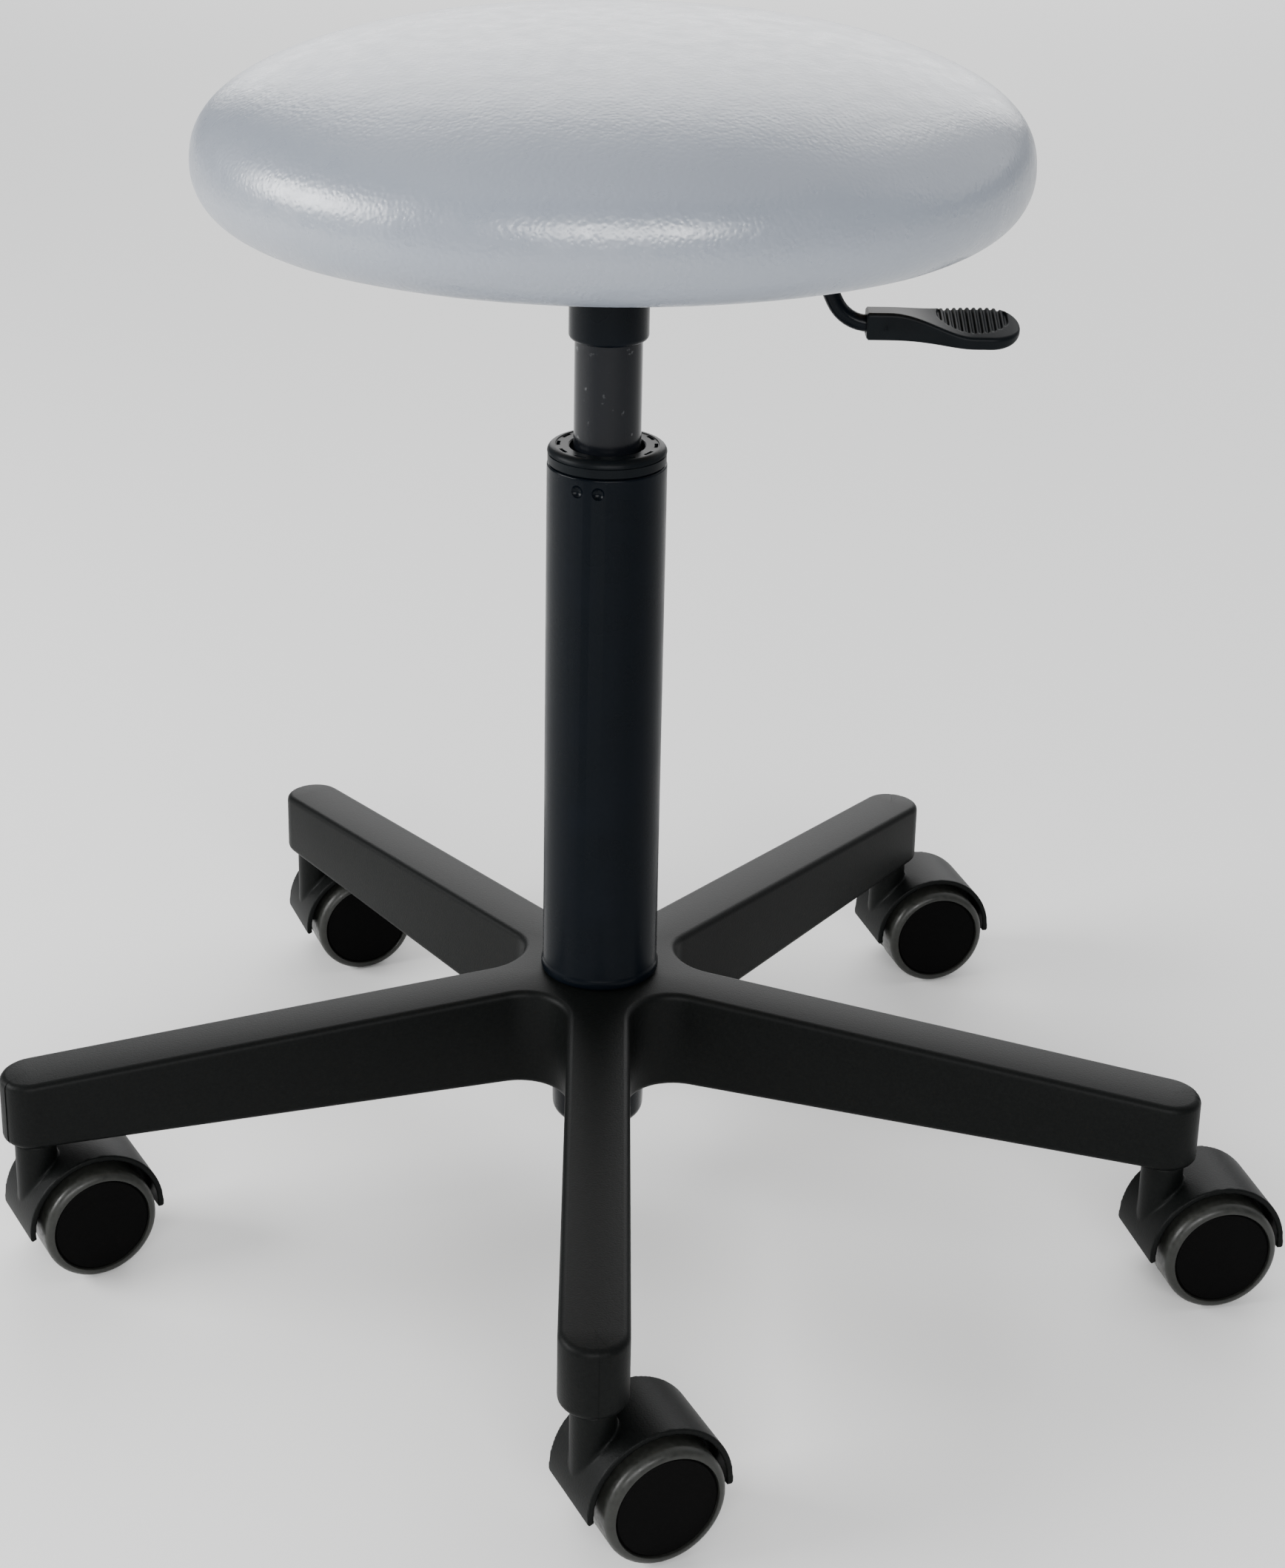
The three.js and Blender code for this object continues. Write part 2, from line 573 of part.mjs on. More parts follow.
function guideBush() {
  const bore = TUBE_RADIUS + RUN;
  const low = COLUMN_TOP - BUSH_LENGTH;
  const headLow = COLUMN_TOP + CLEAR;
  const top = headLow + BUSH_HEAD;
  const skirt = COLUMN_RADIUS - COLUMN_WALL - DIMPLE_DEPTH;
  const headRound = arc(
    [COLUMN_RADIUS - BUSH_HEAD_ROUND, top - BUSH_HEAD_ROUND], BUSH_HEAD_ROUND, BUSH_HEAD_ROUND, 0, 90, 3,
  );
  return turned([
    [bore, low],
    [skirt, low],
    [skirt, headLow],
    [COLUMN_RADIUS, headLow],
    ...headRound,
    [TUBE_RADIUS + BUSH_MOUTH_GAP, top],
    [TUBE_RADIUS + BUSH_MOUTH_GAP, top - BUSH_MOUTH_DEPTH],
    [bore, top - BUSH_MOUTH_DEPTH],
  ]);
}

const tubeBore = TUBE_RADIUS - TUBE_WALL;
const lowerWasher = plateTop + CLEAR;
const ballBottom = lowerWasher + BEARING_WASHER + CLEAR;
const upperWasher = ballBottom + 2 * BALL_RADIUS + CLEAR;
const rodShoulder = upperWasher + BEARING_WASHER + CLEAR;
const tubeBottom = rodShoulder + BUFFER_HEIGHT + BUFFER_GAP + DROP;
const sealTop = tubeBottom + TUBE_WALL + SEAL_HEIGHT;
const pistonLow = sealTop + RISE + PISTON_GAP;

function thrustBearing() {
  const middle = ballBottom + BALL_RADIUS;
  const inner = ROD_END_RADIUS + RUN;
  const outer = BEARING_RADIUS - RUN;
  const ballCircle = (inner + outer) / 2;
  const pieces = [ring(inner, outer, middle - CAGE_THICKNESS / 2, middle + CAGE_THICKNESS / 2, SMALL_ROUND)];
  const ball = solid(new THREE.SphereGeometry(BALL_RADIUS, 6, 4).rotateX(Math.PI / 2));
  for (let i = 0; i < BALLS; i += 1) {
    const place = polar(ballCircle, (360 / BALLS) * i, middle);
    pieces.push(ball.translate([place.x, place.y, place.z]));
  }
  return union(pieces);
}

function pistonRod() {
  const low = SPIGOT_BOTTOM - ROD_BELOW_SPIGOT;
  const grooveHigh = SPIGOT_BOTTOM - CLEAR;
  const grooveLow = grooveHigh - CLIP_THICKNESS - CLEAR;
  const groove = ROD_END_RADIUS - CLIP_GROOVE;
  const high = pistonLow + PISTON_LENGTH + ROD_ABOVE_PISTON;
  return turned([
    [0, low],
    [ROD_END_RADIUS - FINE_CHAMFER, low],
    [ROD_END_RADIUS, low + FINE_CHAMFER],
    [ROD_END_RADIUS, grooveLow],
    [groove, grooveLow],
    [groove, grooveHigh],
    [ROD_END_RADIUS, grooveHigh],
    [ROD_END_RADIUS, rodShoulder],
    [ROD_RADIUS, rodShoulder],
    [ROD_RADIUS, pistonLow],
    [ROD_END_RADIUS, pistonLow],
    [ROD_END_RADIUS, high],
    [0, high],
  ], SMALL_ROUND);
}

function retainingClip() {
  const high = SPIGOT_BOTTOM - CLEAR - CLEAR / 2;
  const low = high - CLIP_THICKNESS;
  const inner = ROD_END_RADIUS - CLIP_GROOVE + CLEAR;
  const mouth = inner * CLIP_MOUTH;
  const cut = block([0, -mouth, low - THROUGH], [CLIP_RADIUS + THROUGH, mouth, high + THROUGH]);
  return ring(inner, CLIP_RADIUS, low, high, SMALL_ROUND).subtract(cut);
}

part('column_tube', 'paintedSteel', columnTube());
part('guide_bush', 'blackPlastic', guideBush());
part('bearing_washer_lower', 'zincSteel',
  ring(ROD_END_RADIUS + RUN, BEARING_RADIUS, lowerWasher, lowerWasher + BEARING_WASHER, SMALL_ROUND));
part('thrust_bearing', 'zincSteel', thrustBearing());
part('bearing_washer_upper', 'zincSteel',
  ring(ROD_END_RADIUS + CLEAR, BEARING_RADIUS, upperWasher, upperWasher + BEARING_WASHER, SMALL_ROUND));
part('rubber_buffer', 'rubber',
  ring(ROD_RADIUS + RUN, BEARING_RADIUS, rodShoulder, rodShoulder + BUFFER_HEIGHT, SMALL_ROUND));
part('piston_rod', 'zincSteel', pistonRod());
part('piston', 'blackPlastic',
  ring(ROD_END_RADIUS + CLEAR, tubeBore - RUN, pistonLow + CLEAR, pistonLow + PISTON_LENGTH, SMALL_ROUND));
part('retaining_clip', 'zincSteel', retainingClip());

// ---- Sliding tube of the gas spring ----------------------------------------------------------------------

const valveTop = TUBE_TOP - TUBE_END_WALL - CLEAR;

const plugRadius = TAPER_TOP_RADIUS - TUBE_WALL - CLEAR;
const buttonTop = LEVER_HEIGHT - LEVER_RADIUS - RUN;

function pressureTube() {
  const taperStart = SLEEVE_BOTTOM - TAPER_BELOW_SLEEVE;
  const mouth = BUTTON_HEAD_RADIUS + BUTTON_MOUTH_GAP;
  return turned([
    [tubeBore - TUBE_LIP, tubeBottom],
    [TUBE_RADIUS - CHAMFER, tubeBottom],
    [TUBE_RADIUS, tubeBottom + CHAMFER],
    [TUBE_RADIUS, taperStart],
    [TAPER_TOP_RADIUS, TUBE_TOP],
    [mouth, TUBE_TOP],
    [mouth, TUBE_TOP - TUBE_END_WALL],
    [TAPER_TOP_RADIUS - TUBE_WALL, TUBE_TOP - TUBE_END_WALL],
    [tubeBore, taperStart],
    [tubeBore, tubeBottom + TUBE_WALL],
    [tubeBore - TUBE_LIP, tubeBottom + TUBE_WALL],
  ]);
}

function releaseButton() {
  const low = valveTop - VALVE_HEIGHT + BUTTON_PIN_SHORT;
  return turned([
    [0, low],
    [BUTTON_PIN_RADIUS, low],
    [BUTTON_PIN_RADIUS, buttonTop - BUTTON_HEAD],
    [BUTTON_HEAD_RADIUS, buttonTop - BUTTON_HEAD],
    [BUTTON_HEAD_RADIUS, buttonTop - FINE_CHAMFER],
    [BUTTON_HEAD_RADIUS - FINE_CHAMFER, buttonTop],
    [0, buttonTop],
  ], TINY_ROUND);
}

part('pressure_tube', 'blackSteel', pressureTube());
part('rod_seal', 'blackPlastic',
  ring(ROD_RADIUS + RUN, tubeBore - CLEAR, tubeBottom + TUBE_WALL + CLEAR, sealTop, SMALL_ROUND));
part('valve_body', 'zincSteel',
  ring(BUTTON_PIN_RADIUS + RUN, plugRadius, valveTop - VALVE_HEIGHT, valveTop, SMALL_ROUND));
part('release_button', 'zincSteel', releaseButton());

// ---- Seat support ----------------------------------------------------------------------------------------

const boardLow = PAN_TOP + CLEAR;
const boardHigh = boardLow + BOARD_THICKNESS;

// The taper sleeve that the sliding tube jams into, tapered like the tube.
function taperSleeve() {
  const top = PAN_FLOOR + SHEET;
  const taperAtTop = (TUBE_TAPER * (top - SLEEVE_BOTTOM)) / (TUBE_TOP - SLEEVE_BOTTOM);
  const bottomRound = arc(
    [SLEEVE_RADIUS - SLEEVE_EDGE_ROUND, SLEEVE_BOTTOM + SLEEVE_EDGE_ROUND],
    SLEEVE_EDGE_ROUND, SLEEVE_EDGE_ROUND, -90, 0, 2,
  );
  return turned([
    [TUBE_RADIUS + CLEAR, SLEEVE_BOTTOM],
    ...bottomRound,
    [SLEEVE_RADIUS, top],
    [TUBE_RADIUS - taperAtTop + CLEAR, top],
  ]);
}

// The dished steel pan under the seat board, slotted for the lever.
function seatPan() {
  const hole = SLEEVE_RADIUS + CLEAR;
  const rim = PAN_RADIUS + PAN_FLANGE;
  const flangeLow = PAN_TOP - SHEET;
  const pan = turned([
    [hole, PAN_FLOOR],
    [PAN_RADIUS, PAN_FLOOR],
    [PAN_RADIUS, flangeLow],
    [rim, flangeLow],
    [rim, PAN_TOP],
    [PAN_RADIUS - SHEET, PAN_TOP],
    [PAN_RADIUS - SHEET, PAN_FLOOR + SHEET],
    [hole, PAN_FLOOR + SHEET],
  ]);
  const slotHalf = LEVER_RADIUS + LEVER_SLOT_GAP;
  const slotLow = LEVER_HEIGHT - LEVER_RADIUS - 2 * RUN;
  const slotIn = PAN_RADIUS - 3 * SHEET;
  const slot = block([slotIn, -slotHalf, slotLow], [PAN_RADIUS + THROUGH, slotHalf, flangeLow - CLEAR]);
  const boltHole = disc(BOLT_RADIUS + CLEAR, flangeLow - THROUGH, PAN_TOP + THROUGH, TINY_ROUND);
  return drilled(pan.subtract(slot), boltHole);
}

function boltPlaces() {
  const places = [];
  for (let i = 0; i < BOLTS; i += 1) {
    const place = polar(BOLT_CIRCLE, FIRST_BOLT_ANGLE + (360 / BOLTS) * i);
    places.push([place.x, place.y, 0]);
  }
  return places;
}

// A body with the same tool cut out of it at each bolt.
function drilled(body, tool) {
  return boltPlaces().reduce((left, place) => left.subtract(tool.translate(place)), body);
}

// A cylinder on the lever's pivot axis.
function alongY(radius, from, to) {
  return disc(radius, from, to, TINY_ROUND).rotate([-90, 0, 0]).translate([LEVER_PIVOT, 0, LEVER_HEIGHT]);
}

const lugInside = PIVOT_EYE_HALF_WIDTH + RUN;
const lugOutside = lugInside + LUG_THICKNESS;

// The bracket on the pan's floor whose two lugs hold the lever's pivot pin.
function leverBracket() {
  const low = PAN_FLOOR + SHEET + CLEAR;
  const high = LEVER_HEIGHT + LUG_ABOVE_PIVOT;
  const near = LEVER_PIVOT - LUG_HALF_LENGTH;
  const far = LEVER_PIVOT + LUG_HALF_LENGTH;
  const outside = block([near, -lugOutside, low], [far, lugOutside, high]);
  const inside = block(
    [near - THROUGH, -lugInside, low + LUG_THICKNESS],
    [far + THROUGH, lugInside, high + THROUGH],
  );
  const pinHole = alongY(PIVOT_RADIUS + CLEAR, -lugOutside - THROUGH, lugOutside + THROUGH);
  return outside.subtract(inside).subtract(pinHole);
}

function pivotPin() {
  const half = lugOutside + CLEAR;
  const head = alongY(PIVOT_RADIUS + CHAMFER, half, half + PIVOT_HEAD);
  return alongY(PIVOT_RADIUS, -half - CHAMFER, half + CHAMFER).add(head);
}

// ---- Lever -----------------------------------------------------------------------------------------------

const bend = THREE.MathUtils.degToRad(BEND_ANGLE);
const straightDrop = LEVER_DROP - 2 * BEND_RADIUS * (1 - Math.cos(bend));
const bendStart = PAN_RADIUS + BEND_CLEAR_OF_PAN;
const bendEnd = bendStart + 2 * BEND_RADIUS * Math.sin(bend) + straightDrop / Math.tan(bend);
const gripStart = bendEnd - GRIP_OVER_BEND;
const gripHeight = LEVER_HEIGHT - LEVER_DROP;

// Stations along the rod: straight through the pan, down an S-bend and out to the grip.
function leverPath() {
  const stations = [{ x: -LEVER_PAST_BUTTON, z: LEVER_HEIGHT, slope: 0 }];
  for (let i = 0; i <= BEND_STEPS; i += 1) {
    const slope = (bend * i) / BEND_STEPS;
    const x = bendStart + BEND_RADIUS * Math.sin(slope);
    stations.push({ x, z: LEVER_HEIGHT - BEND_RADIUS * (1 - Math.cos(slope)), slope });
  }
  for (let i = BEND_STEPS; i >= 0; i -= 1) {
    const slope = (bend * i) / BEND_STEPS;
    const x = bendEnd - BEND_RADIUS * Math.sin(slope);
    stations.push({ x, z: gripHeight + BEND_RADIUS * (1 - Math.cos(slope)), slope });
  }
  stations.push({ x: gripStart + GRIP_HOLE_DEPTH - CLEAR, z: gripHeight, slope: 0 });
  return stations;
}

function leverRod() {
  const rings = leverPath().map(({ x, z, slope }) => {
    const circle = [];
    for (let i = 0; i < TINY_ROUND; i += 1) {
      const angle = (2 * Math.PI * i) / TINY_ROUND;
      const up = LEVER_RADIUS * Math.sin(angle);
      const y = LEVER_RADIUS * Math.cos(angle);
      circle.push(new THREE.Vector3(x + up * Math.sin(slope), y, z + up * Math.cos(slope)));
    }
    return circle;
  });
  const eye = alongY(PIVOT_EYE_RADIUS, -PIVOT_EYE_HALF_WIDTH, PIVOT_EYE_HALF_WIDTH);
  const hole = alongY(PIVOT_RADIUS + RUN, -lugInside, lugInside);
  return loft(rings).add(eye).subtract(hole);
}

// One ring of the grip: a box with round corners, leaning forwards about its own middle.
function gripSection(x, z, halfWidth, halfHeight, tilt) {
  const section = [];
  for (let j = 0; j < GRIP_SIDES; j += 1) {
    const [cos, sin] = [Math.cos((2 * Math.PI * j) / GRIP_SIDES), Math.sin((2 * Math.PI * j) / GRIP_SIDES)];
    const wide = halfWidth * Math.sign(cos) * Math.abs(cos) ** GRIP_CORNER_POWER;
    const high = halfHeight * Math.sign(sin) * Math.abs(sin) ** GRIP_CORNER_POWER;
    const y = wide * Math.cos(tilt) - high * Math.sin(tilt);
    section.push(new THREE.Vector3(x, y, z + wide * Math.sin(tilt) + high * Math.cos(tilt)));
  }
  return section;
}

// The grip: a box socket that swells and flattens into a leaning paddle with a round end.
function leverGrip() {
  const { lerp, smoothstep, degToRad } = THREE.MathUtils;
  const rings = [];
  for (let i = 0; i <= GRIP_SECTIONS; i += 1) {
    const along = Math.sin((Math.PI / 2) * (i / GRIP_SECTIONS));
    const swell = smoothstep(along, ...GRIP_SWELL);
    const intoEnd = Math.max(0, (along - 1 + GRIP_END_ROUND) / GRIP_END_ROUND);
    const endRound = Math.sqrt(Math.max(GRIP_END_BLUNT, 1 - intoEnd ** 2));
    const halfWidth = lerp(GRIP_SOCKET_HALF_WIDTH, GRIP_PADDLE_HALF_WIDTH, swell) * endRound;
    const halfHeight = lerp(GRIP_SOCKET_HALF_HEIGHT, GRIP_PADDLE_HALF_HEIGHT, swell) * Math.sqrt(endRound);
    const x = gripStart + GRIP_LENGTH * along;
    const z = gripHeight - GRIP_PADDLE_DROP * swell;
    rings.push(gripSection(x, z, halfWidth, halfHeight, degToRad(GRIP_TILT) * swell));
  }
  const hole = disc(LEVER_RADIUS + CLEAR, -THROUGH, GRIP_HOLE_DEPTH, TINY_ROUND).rotate([0, 90, 0]);
  return loft(rings).subtract(hole.translate([gripStart, 0, gripHeight]));
}

part('taper_sleeve', 'paintedSteel', taperSleeve());
part('seat_pan', 'paintedSteel', seatPan());
part('lever_bracket', 'paintedSteel', leverBracket());
part('pivot_pin', 'zincSteel', pivotPin());
part('lever_rod', 'blackSteel', leverRod());
part('lever_grip', 'blackPlastic', leverGrip());

// ---- Seat ------------------------------------------------------------------------------------------------

// The padded seat's outline from its underside to the middle of its crown, drawn in by an offset.
function seatOutline(offset) {
  const underRound = SEAT_UNDER_ROUND - offset;
  const underHeight = SEAT_UNDER_HEIGHT - offset;
  const under = arc([SEAT_BOTTOM_RADIUS, SEAT_WIDEST], underRound, underHeight, -90, 0, 4);
  const crown = [];
  for (let i = 1; i < SEAT_CROWN_STEPS; i += 1) {
    const angle = ((Math.PI / 2) * i) / SEAT_CROWN_STEPS;
    const r = (SEAT_RADIUS - offset) * Math.cos(angle) ** (2 / SEAT_CROWN_POWER);
    const z = SEAT_WIDEST + (SEAT_TOP - SEAT_WIDEST - offset) * Math.sin(angle) ** (2 / SEAT_CROWN_POWER);
    crown.push([r, z]);
  }
  return [...under, ...crown, [0, SEAT_TOP - offset]];
}

function seatCover() {
  const outer = seatOutline(0);
  const inner = seatOutline(COVER_THICKNESS).reverse();
  const turnUnder = SEAT_BOTTOM_RADIUS - COVER_TURN_UNDER;
  return turned([...inner, [turnUnder, PAN_TOP], [turnUnder, SEAT_BOTTOM], ...outer]);
}

function seatFoam() {
  const [edge, ...rest] = seatOutline(COVER_THICKNESS + CLEAR);
  const foam = turned([
    [0, boardHigh + CLEAR],
    [SEAT_BOTTOM_RADIUS + CLEAR, boardHigh + CLEAR],
    [SEAT_BOTTOM_RADIUS + CLEAR, edge[1]],
    ...rest,
  ]);
  const pocketTop = boardHigh + TEE_NUT_FLANGE + TEE_NUT_POCKET;
  return drilled(foam, disc(TEE_NUT_RADIUS + CHAMFER, boardHigh - THROUGH, pocketTop, TINY_ROUND));
}

const nutBore = BOLT_RADIUS + CLEAR;
const nutBarrel = nutBore + TEE_NUT_BARREL;

function seatBoard() {
  const board = disc(SEAT_BOTTOM_RADIUS, boardLow, boardHigh);
  return drilled(board, disc(nutBarrel + CLEAR, boardLow - THROUGH, boardHigh + THROUGH, TINY_ROUND));
}

// A bolt whose head bears on the pan's flange and whose shank reaches the tee nut on top of the board.
function seatBolt() {
  const bearing = PAN_TOP - SHEET - CLEAR;
  const tip = boardHigh + TEE_NUT_FLANGE + CHAMFER;
  return turned([
    [0, bearing - BOLT_HEAD],
    [BOLT_HEAD_RADIUS - CHAMFER, bearing - BOLT_HEAD],
    [BOLT_HEAD_RADIUS, bearing - BOLT_HEAD + CHAMFER],
    [BOLT_HEAD_RADIUS, bearing],
    [BOLT_RADIUS, bearing],
    [BOLT_RADIUS, tip],
    [0, tip],
  ], TINY_ROUND);
}

function teeNut() {
  const flangeLow = boardHigh + CLEAR / 2;
  return turned([
    [nutBore, boardHigh - TEE_NUT_DEPTH],
    [nutBarrel, boardHigh - TEE_NUT_DEPTH],
    [nutBarrel, flangeLow],
    [TEE_NUT_RADIUS, flangeLow],
    [TEE_NUT_RADIUS, flangeLow + TEE_NUT_FLANGE],
    [nutBore, flangeLow + TEE_NUT_FLANGE],
  ], TINY_ROUND);
}

part('seat_board', 'plywood', seatBoard());
part('seat_foam', 'foam', seatFoam());
part('seat_cover', 'vinyl', seatCover());
boltPlaces().forEach((place, i) => {
  part(`seat_bolt_${i + 1}`, 'zincSteel', seatBolt().translate(place));
  part(`tee_nut_${i + 1}`, 'zincSteel', teeNut().translate(place));
});

// The part's origin is the middle of the floor under it.
stool.updateMatrixWorld(true);
const bounds = new THREE.Box3().setFromObject(stool, true);
const middle = bounds.getCenter(new THREE.Vector3());
stool.position.set(-middle.x, -middle.y, -bounds.min.z);

export default stool;
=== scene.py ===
# %% [markdown]
# # An adjustable swivel stool
# A round padded seat stands on a gas-sprung column, a five-arm nylon base and five twin-wheel castors.
# The measured model comes in first as a fixed frame. Every piece below is modelled round it, in metres,
# and rides on one of its moving bodies, so the finished stool turns, rises and rolls as the measured one.

# %% Load the frame
import math

import bpy
import numpy
from mathutils import Matrix, Vector


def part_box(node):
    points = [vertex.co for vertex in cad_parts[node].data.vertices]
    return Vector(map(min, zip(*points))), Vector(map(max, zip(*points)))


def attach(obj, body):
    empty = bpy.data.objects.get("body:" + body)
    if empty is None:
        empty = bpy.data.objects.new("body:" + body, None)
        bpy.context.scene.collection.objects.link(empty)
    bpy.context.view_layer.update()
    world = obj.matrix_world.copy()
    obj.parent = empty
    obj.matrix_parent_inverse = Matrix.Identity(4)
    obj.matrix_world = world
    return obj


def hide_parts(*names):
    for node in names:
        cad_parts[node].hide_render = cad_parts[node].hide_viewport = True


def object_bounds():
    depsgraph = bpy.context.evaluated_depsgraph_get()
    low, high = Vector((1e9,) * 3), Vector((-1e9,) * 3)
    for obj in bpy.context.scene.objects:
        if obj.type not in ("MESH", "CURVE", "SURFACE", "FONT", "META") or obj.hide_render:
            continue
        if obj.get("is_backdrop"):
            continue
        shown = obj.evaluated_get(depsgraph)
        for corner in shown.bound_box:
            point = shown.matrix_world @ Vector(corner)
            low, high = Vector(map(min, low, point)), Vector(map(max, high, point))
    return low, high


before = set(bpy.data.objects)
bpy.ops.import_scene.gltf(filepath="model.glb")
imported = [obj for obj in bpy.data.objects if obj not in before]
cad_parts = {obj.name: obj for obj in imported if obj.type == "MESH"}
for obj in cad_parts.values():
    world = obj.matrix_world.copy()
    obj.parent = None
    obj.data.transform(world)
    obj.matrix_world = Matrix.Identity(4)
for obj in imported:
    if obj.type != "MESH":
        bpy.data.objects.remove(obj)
frame_low, frame_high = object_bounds()
MM = 0.001
print("frame", len(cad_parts), "nodes,", [round(v, 3) for v in frame_high - frame_low], "m")

# %% [markdown]
# ## Camera
# The stool is seen from the front, about twenty degrees from above, with a lens long enough to keep the
# column upright. A camera can be aimed with a Track To constraint, or given its turn outright. The turn is
# set outright here, because it also carries a small roll, and a small lens shift frames the whole stool.

# %% Camera
CAMERA_PLACE = (-0.018321, -1.104013, 0.711972)
CAMERA_YAW, CAMERA_DOWN, CAMERA_ROLL = 0.022072, 0.355859, 0.007211

bpy.ops.object.camera_add(location=CAMERA_PLACE)
camera = bpy.context.object
aim = Matrix.Rotation(CAMERA_YAW, 3, "Z") @ Matrix.Rotation(math.pi / 2 - CAMERA_DOWN, 3, "X")
camera.rotation_euler = (aim @ Matrix.Rotation(CAMERA_ROLL, 3, "Z")).to_euler()
camera.data.lens = 65.552
camera.data.sensor_width = 36
camera.data.shift_x, camera.data.shift_y = 0.06227, -0.14134
bpy.context.scene.camera = camera
print("camera", camera.data.lens, "mm lens")

# %% [markdown]
# ## Floor and light
# A pale floor and soft studio lamps show the dark parts by their reflections. Point lamps would give hard
# edges, so large area lamps are used. One at the left draws the bright patch on the seat's shoulder and the
# strip down the column, and a broad weak one at the right rounds off the other side. A wide one at the front
# draws the band along the seat's edge. One hangs overhead, and one far behind lights the floor and the arms'
# tops. A pale world fills the shadows.

# %% Floor and light
bpy.ops.mesh.primitive_plane_add(size=40)
floor = bpy.context.object
floor.name = "floor"
paper = bpy.data.materials.new("studio_paper")
paper.use_nodes = True
paper.node_tree.nodes["Principled BSDF"].inputs["Base Color"].default_value = (0.87, 0.87, 0.86, 1)
paper.node_tree.nodes["Principled BSDF"].inputs["Roughness"].default_value = 0.9
floor.data.materials.append(paper)
floor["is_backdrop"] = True


def lamp(name, place, target, wide, high, watts):
    """A rectangular area lamp at a place, aimed at a target, both in metres."""
    bpy.ops.object.light_add(type="AREA", location=place)
    made = bpy.context.object
    made.name = name
    made.data.shape = "RECTANGLE"
    made.data.size, made.data.size_y = wide, high
    made.data.energy = watts
    made.rotation_euler = (Vector(place) - Vector(target)).to_track_quat("Z", "Y").to_euler()


lamp("lamp_left", (-2.0, -0.2, 0.98), (0, 0, 0.45), 1.4, 0.8, 60)
lamp("lamp_right", (2.0, 1.1, 1.7), (0, 0, 0.45), 2.4, 2.0, 16)
lamp("lamp_front", (0.1, -2.2, 1.12), (0, 0, 0.45), 1.9, 0.5, 54)
lamp("lamp_overhead", (0.0, 0.3, 2.6), (0, 0, 0.3), 3.2, 3.2, 24)
lamp("lamp_back", (0.2, 5.0, 2.6), (0, 0, 0.2), 5.0, 4.6, 280)
world = bpy.data.worlds.new("studio")
world.use_nodes = True
world.node_tree.nodes["Background"].inputs["Color"].default_value = (0.93, 0.95, 1.0, 1)
world.node_tree.nodes["Background"].inputs["Strength"].default_value = 0.3
bpy.context.scene.world = world
print("lamps and floor ready")

# %% [markdown]
# ## Finishes
# Every finish is built from nodes: a base colour with some life in it, and a fine relief through a Bump node.
# The patterns read Object coordinates, so they stay on their piece when it moves, and their scales come from
# real sizes in millimetres. Two small helpers do the work: one turns a hex colour into linear light, and one
# adds a node with its settings and its inputs.


# %% Helpers for finishes
def paint(code):
    """A hex sRGB colour as linear RGBA."""
    channels = [int(code[i:i + 2], 16) / 255 for i in (1, 3, 5)]
    return [c / 12.92 if c <= 0.04045 else ((c + 0.055) / 1.055) ** 2.4 for c in channels] + [1]


def add(material, kind, sockets=None, **settings):
    """Adds a node to a material. An input is given a value, or the output that feeds it."""
    made = material.node_tree.nodes.new(kind)
    for name, value in settings.items():
        setattr(made, name, value)
    for name, value in (sockets or {}).items():
        if isinstance(value, bpy.types.NodeSocket):
            material.node_tree.links.new(value, made.inputs[name])
        else:
            made.inputs[name].default_value = value
    return made


def finish_named(name, **sockets):
    """A new material and its shader, with the shader's plain values set on its own sockets."""
    material = bpy.data.materials.new(name)
    material.use_nodes = True
    shader = material.node_tree.nodes["Principled BSDF"]
    for socket, value in sockets.items():
        shader.inputs[socket.replace("_", " ")].default_value = value
    return material, shader


def per_mm(size):
    """The texture scale that gives a pattern this size in millimetres."""
    return 1 / (size * MM)


print("white is", paint("#ffffff"))

# %% [markdown]
# ### Upholstery vinyl
# The seat wears PVC leathercloth: a knitted back with a soft plastic skin, rolled hot against a grained
# cylinder. The eye sees shallow pebbles with fine creases between them and a satin gloss. Voronoi cells give
# the pebbles and noise makes them uneven. The real grain is about 1 mm and is drawn at 1.7 mm, so that it
# still shows from a few steps away.

# %% Upholstery vinyl
vinyl, shader = finish_named("pvc_leathercloth", Roughness=0.3, IOR=1.5, Specular_IOR_Level=1.0)
place = add(vinyl, "ShaderNodeTexCoord").outputs["Object"]
drift = add(vinyl, "ShaderNodeTexNoise", {"Vector": place, "Scale": per_mm(90), "Detail": 2.0})
tone = add(
    vinyl, "ShaderNodeMix", {0: drift.outputs["Fac"], 6: paint("#7b828d"), 7: paint("#858b95")},
    data_type="RGBA",
)
warp = add(vinyl, "ShaderNodeTexNoise", {"Vector": place, "Scale": per_mm(4), "Detail": 3.0})
bent = add(
    vinyl, "ShaderNodeMix", {0: 0.0012, 6: place, 7: warp.outputs["Color"]},
    data_type="RGBA", blend_type="ADD",
)
pebbles = add(
    vinyl, "ShaderNodeTexVoronoi", {"Vector": bent.outputs[2], "Scale": per_mm(1.7)}, feature="SMOOTH_F1"
)
swell = add(vinyl, "ShaderNodeTexNoise", {"Vector": place, "Scale": per_mm(9), "Detail": 2.0})
relief = add(vinyl, "ShaderNodeMix", {0: 0.45, 2: pebbles.outputs["Distance"], 3: swell.outputs["Fac"]})
bump = add(vinyl, "ShaderNodeBump", {"Height": relief.outputs[0], "Strength": 0.55, "Distance": 0.5 * MM})
gloss = add(
    vinyl, "ShaderNodeMapRange",
    {"Value": swell.outputs["Fac"], "From Min": 0.3, "From Max": 0.7, "To Min": 0.26, "To Max": 0.34},
)
vinyl.node_tree.links.new(tone.outputs[2], shader.inputs["Base Color"])
vinyl.node_tree.links.new(gloss.outputs[0], shader.inputs["Roughness"])
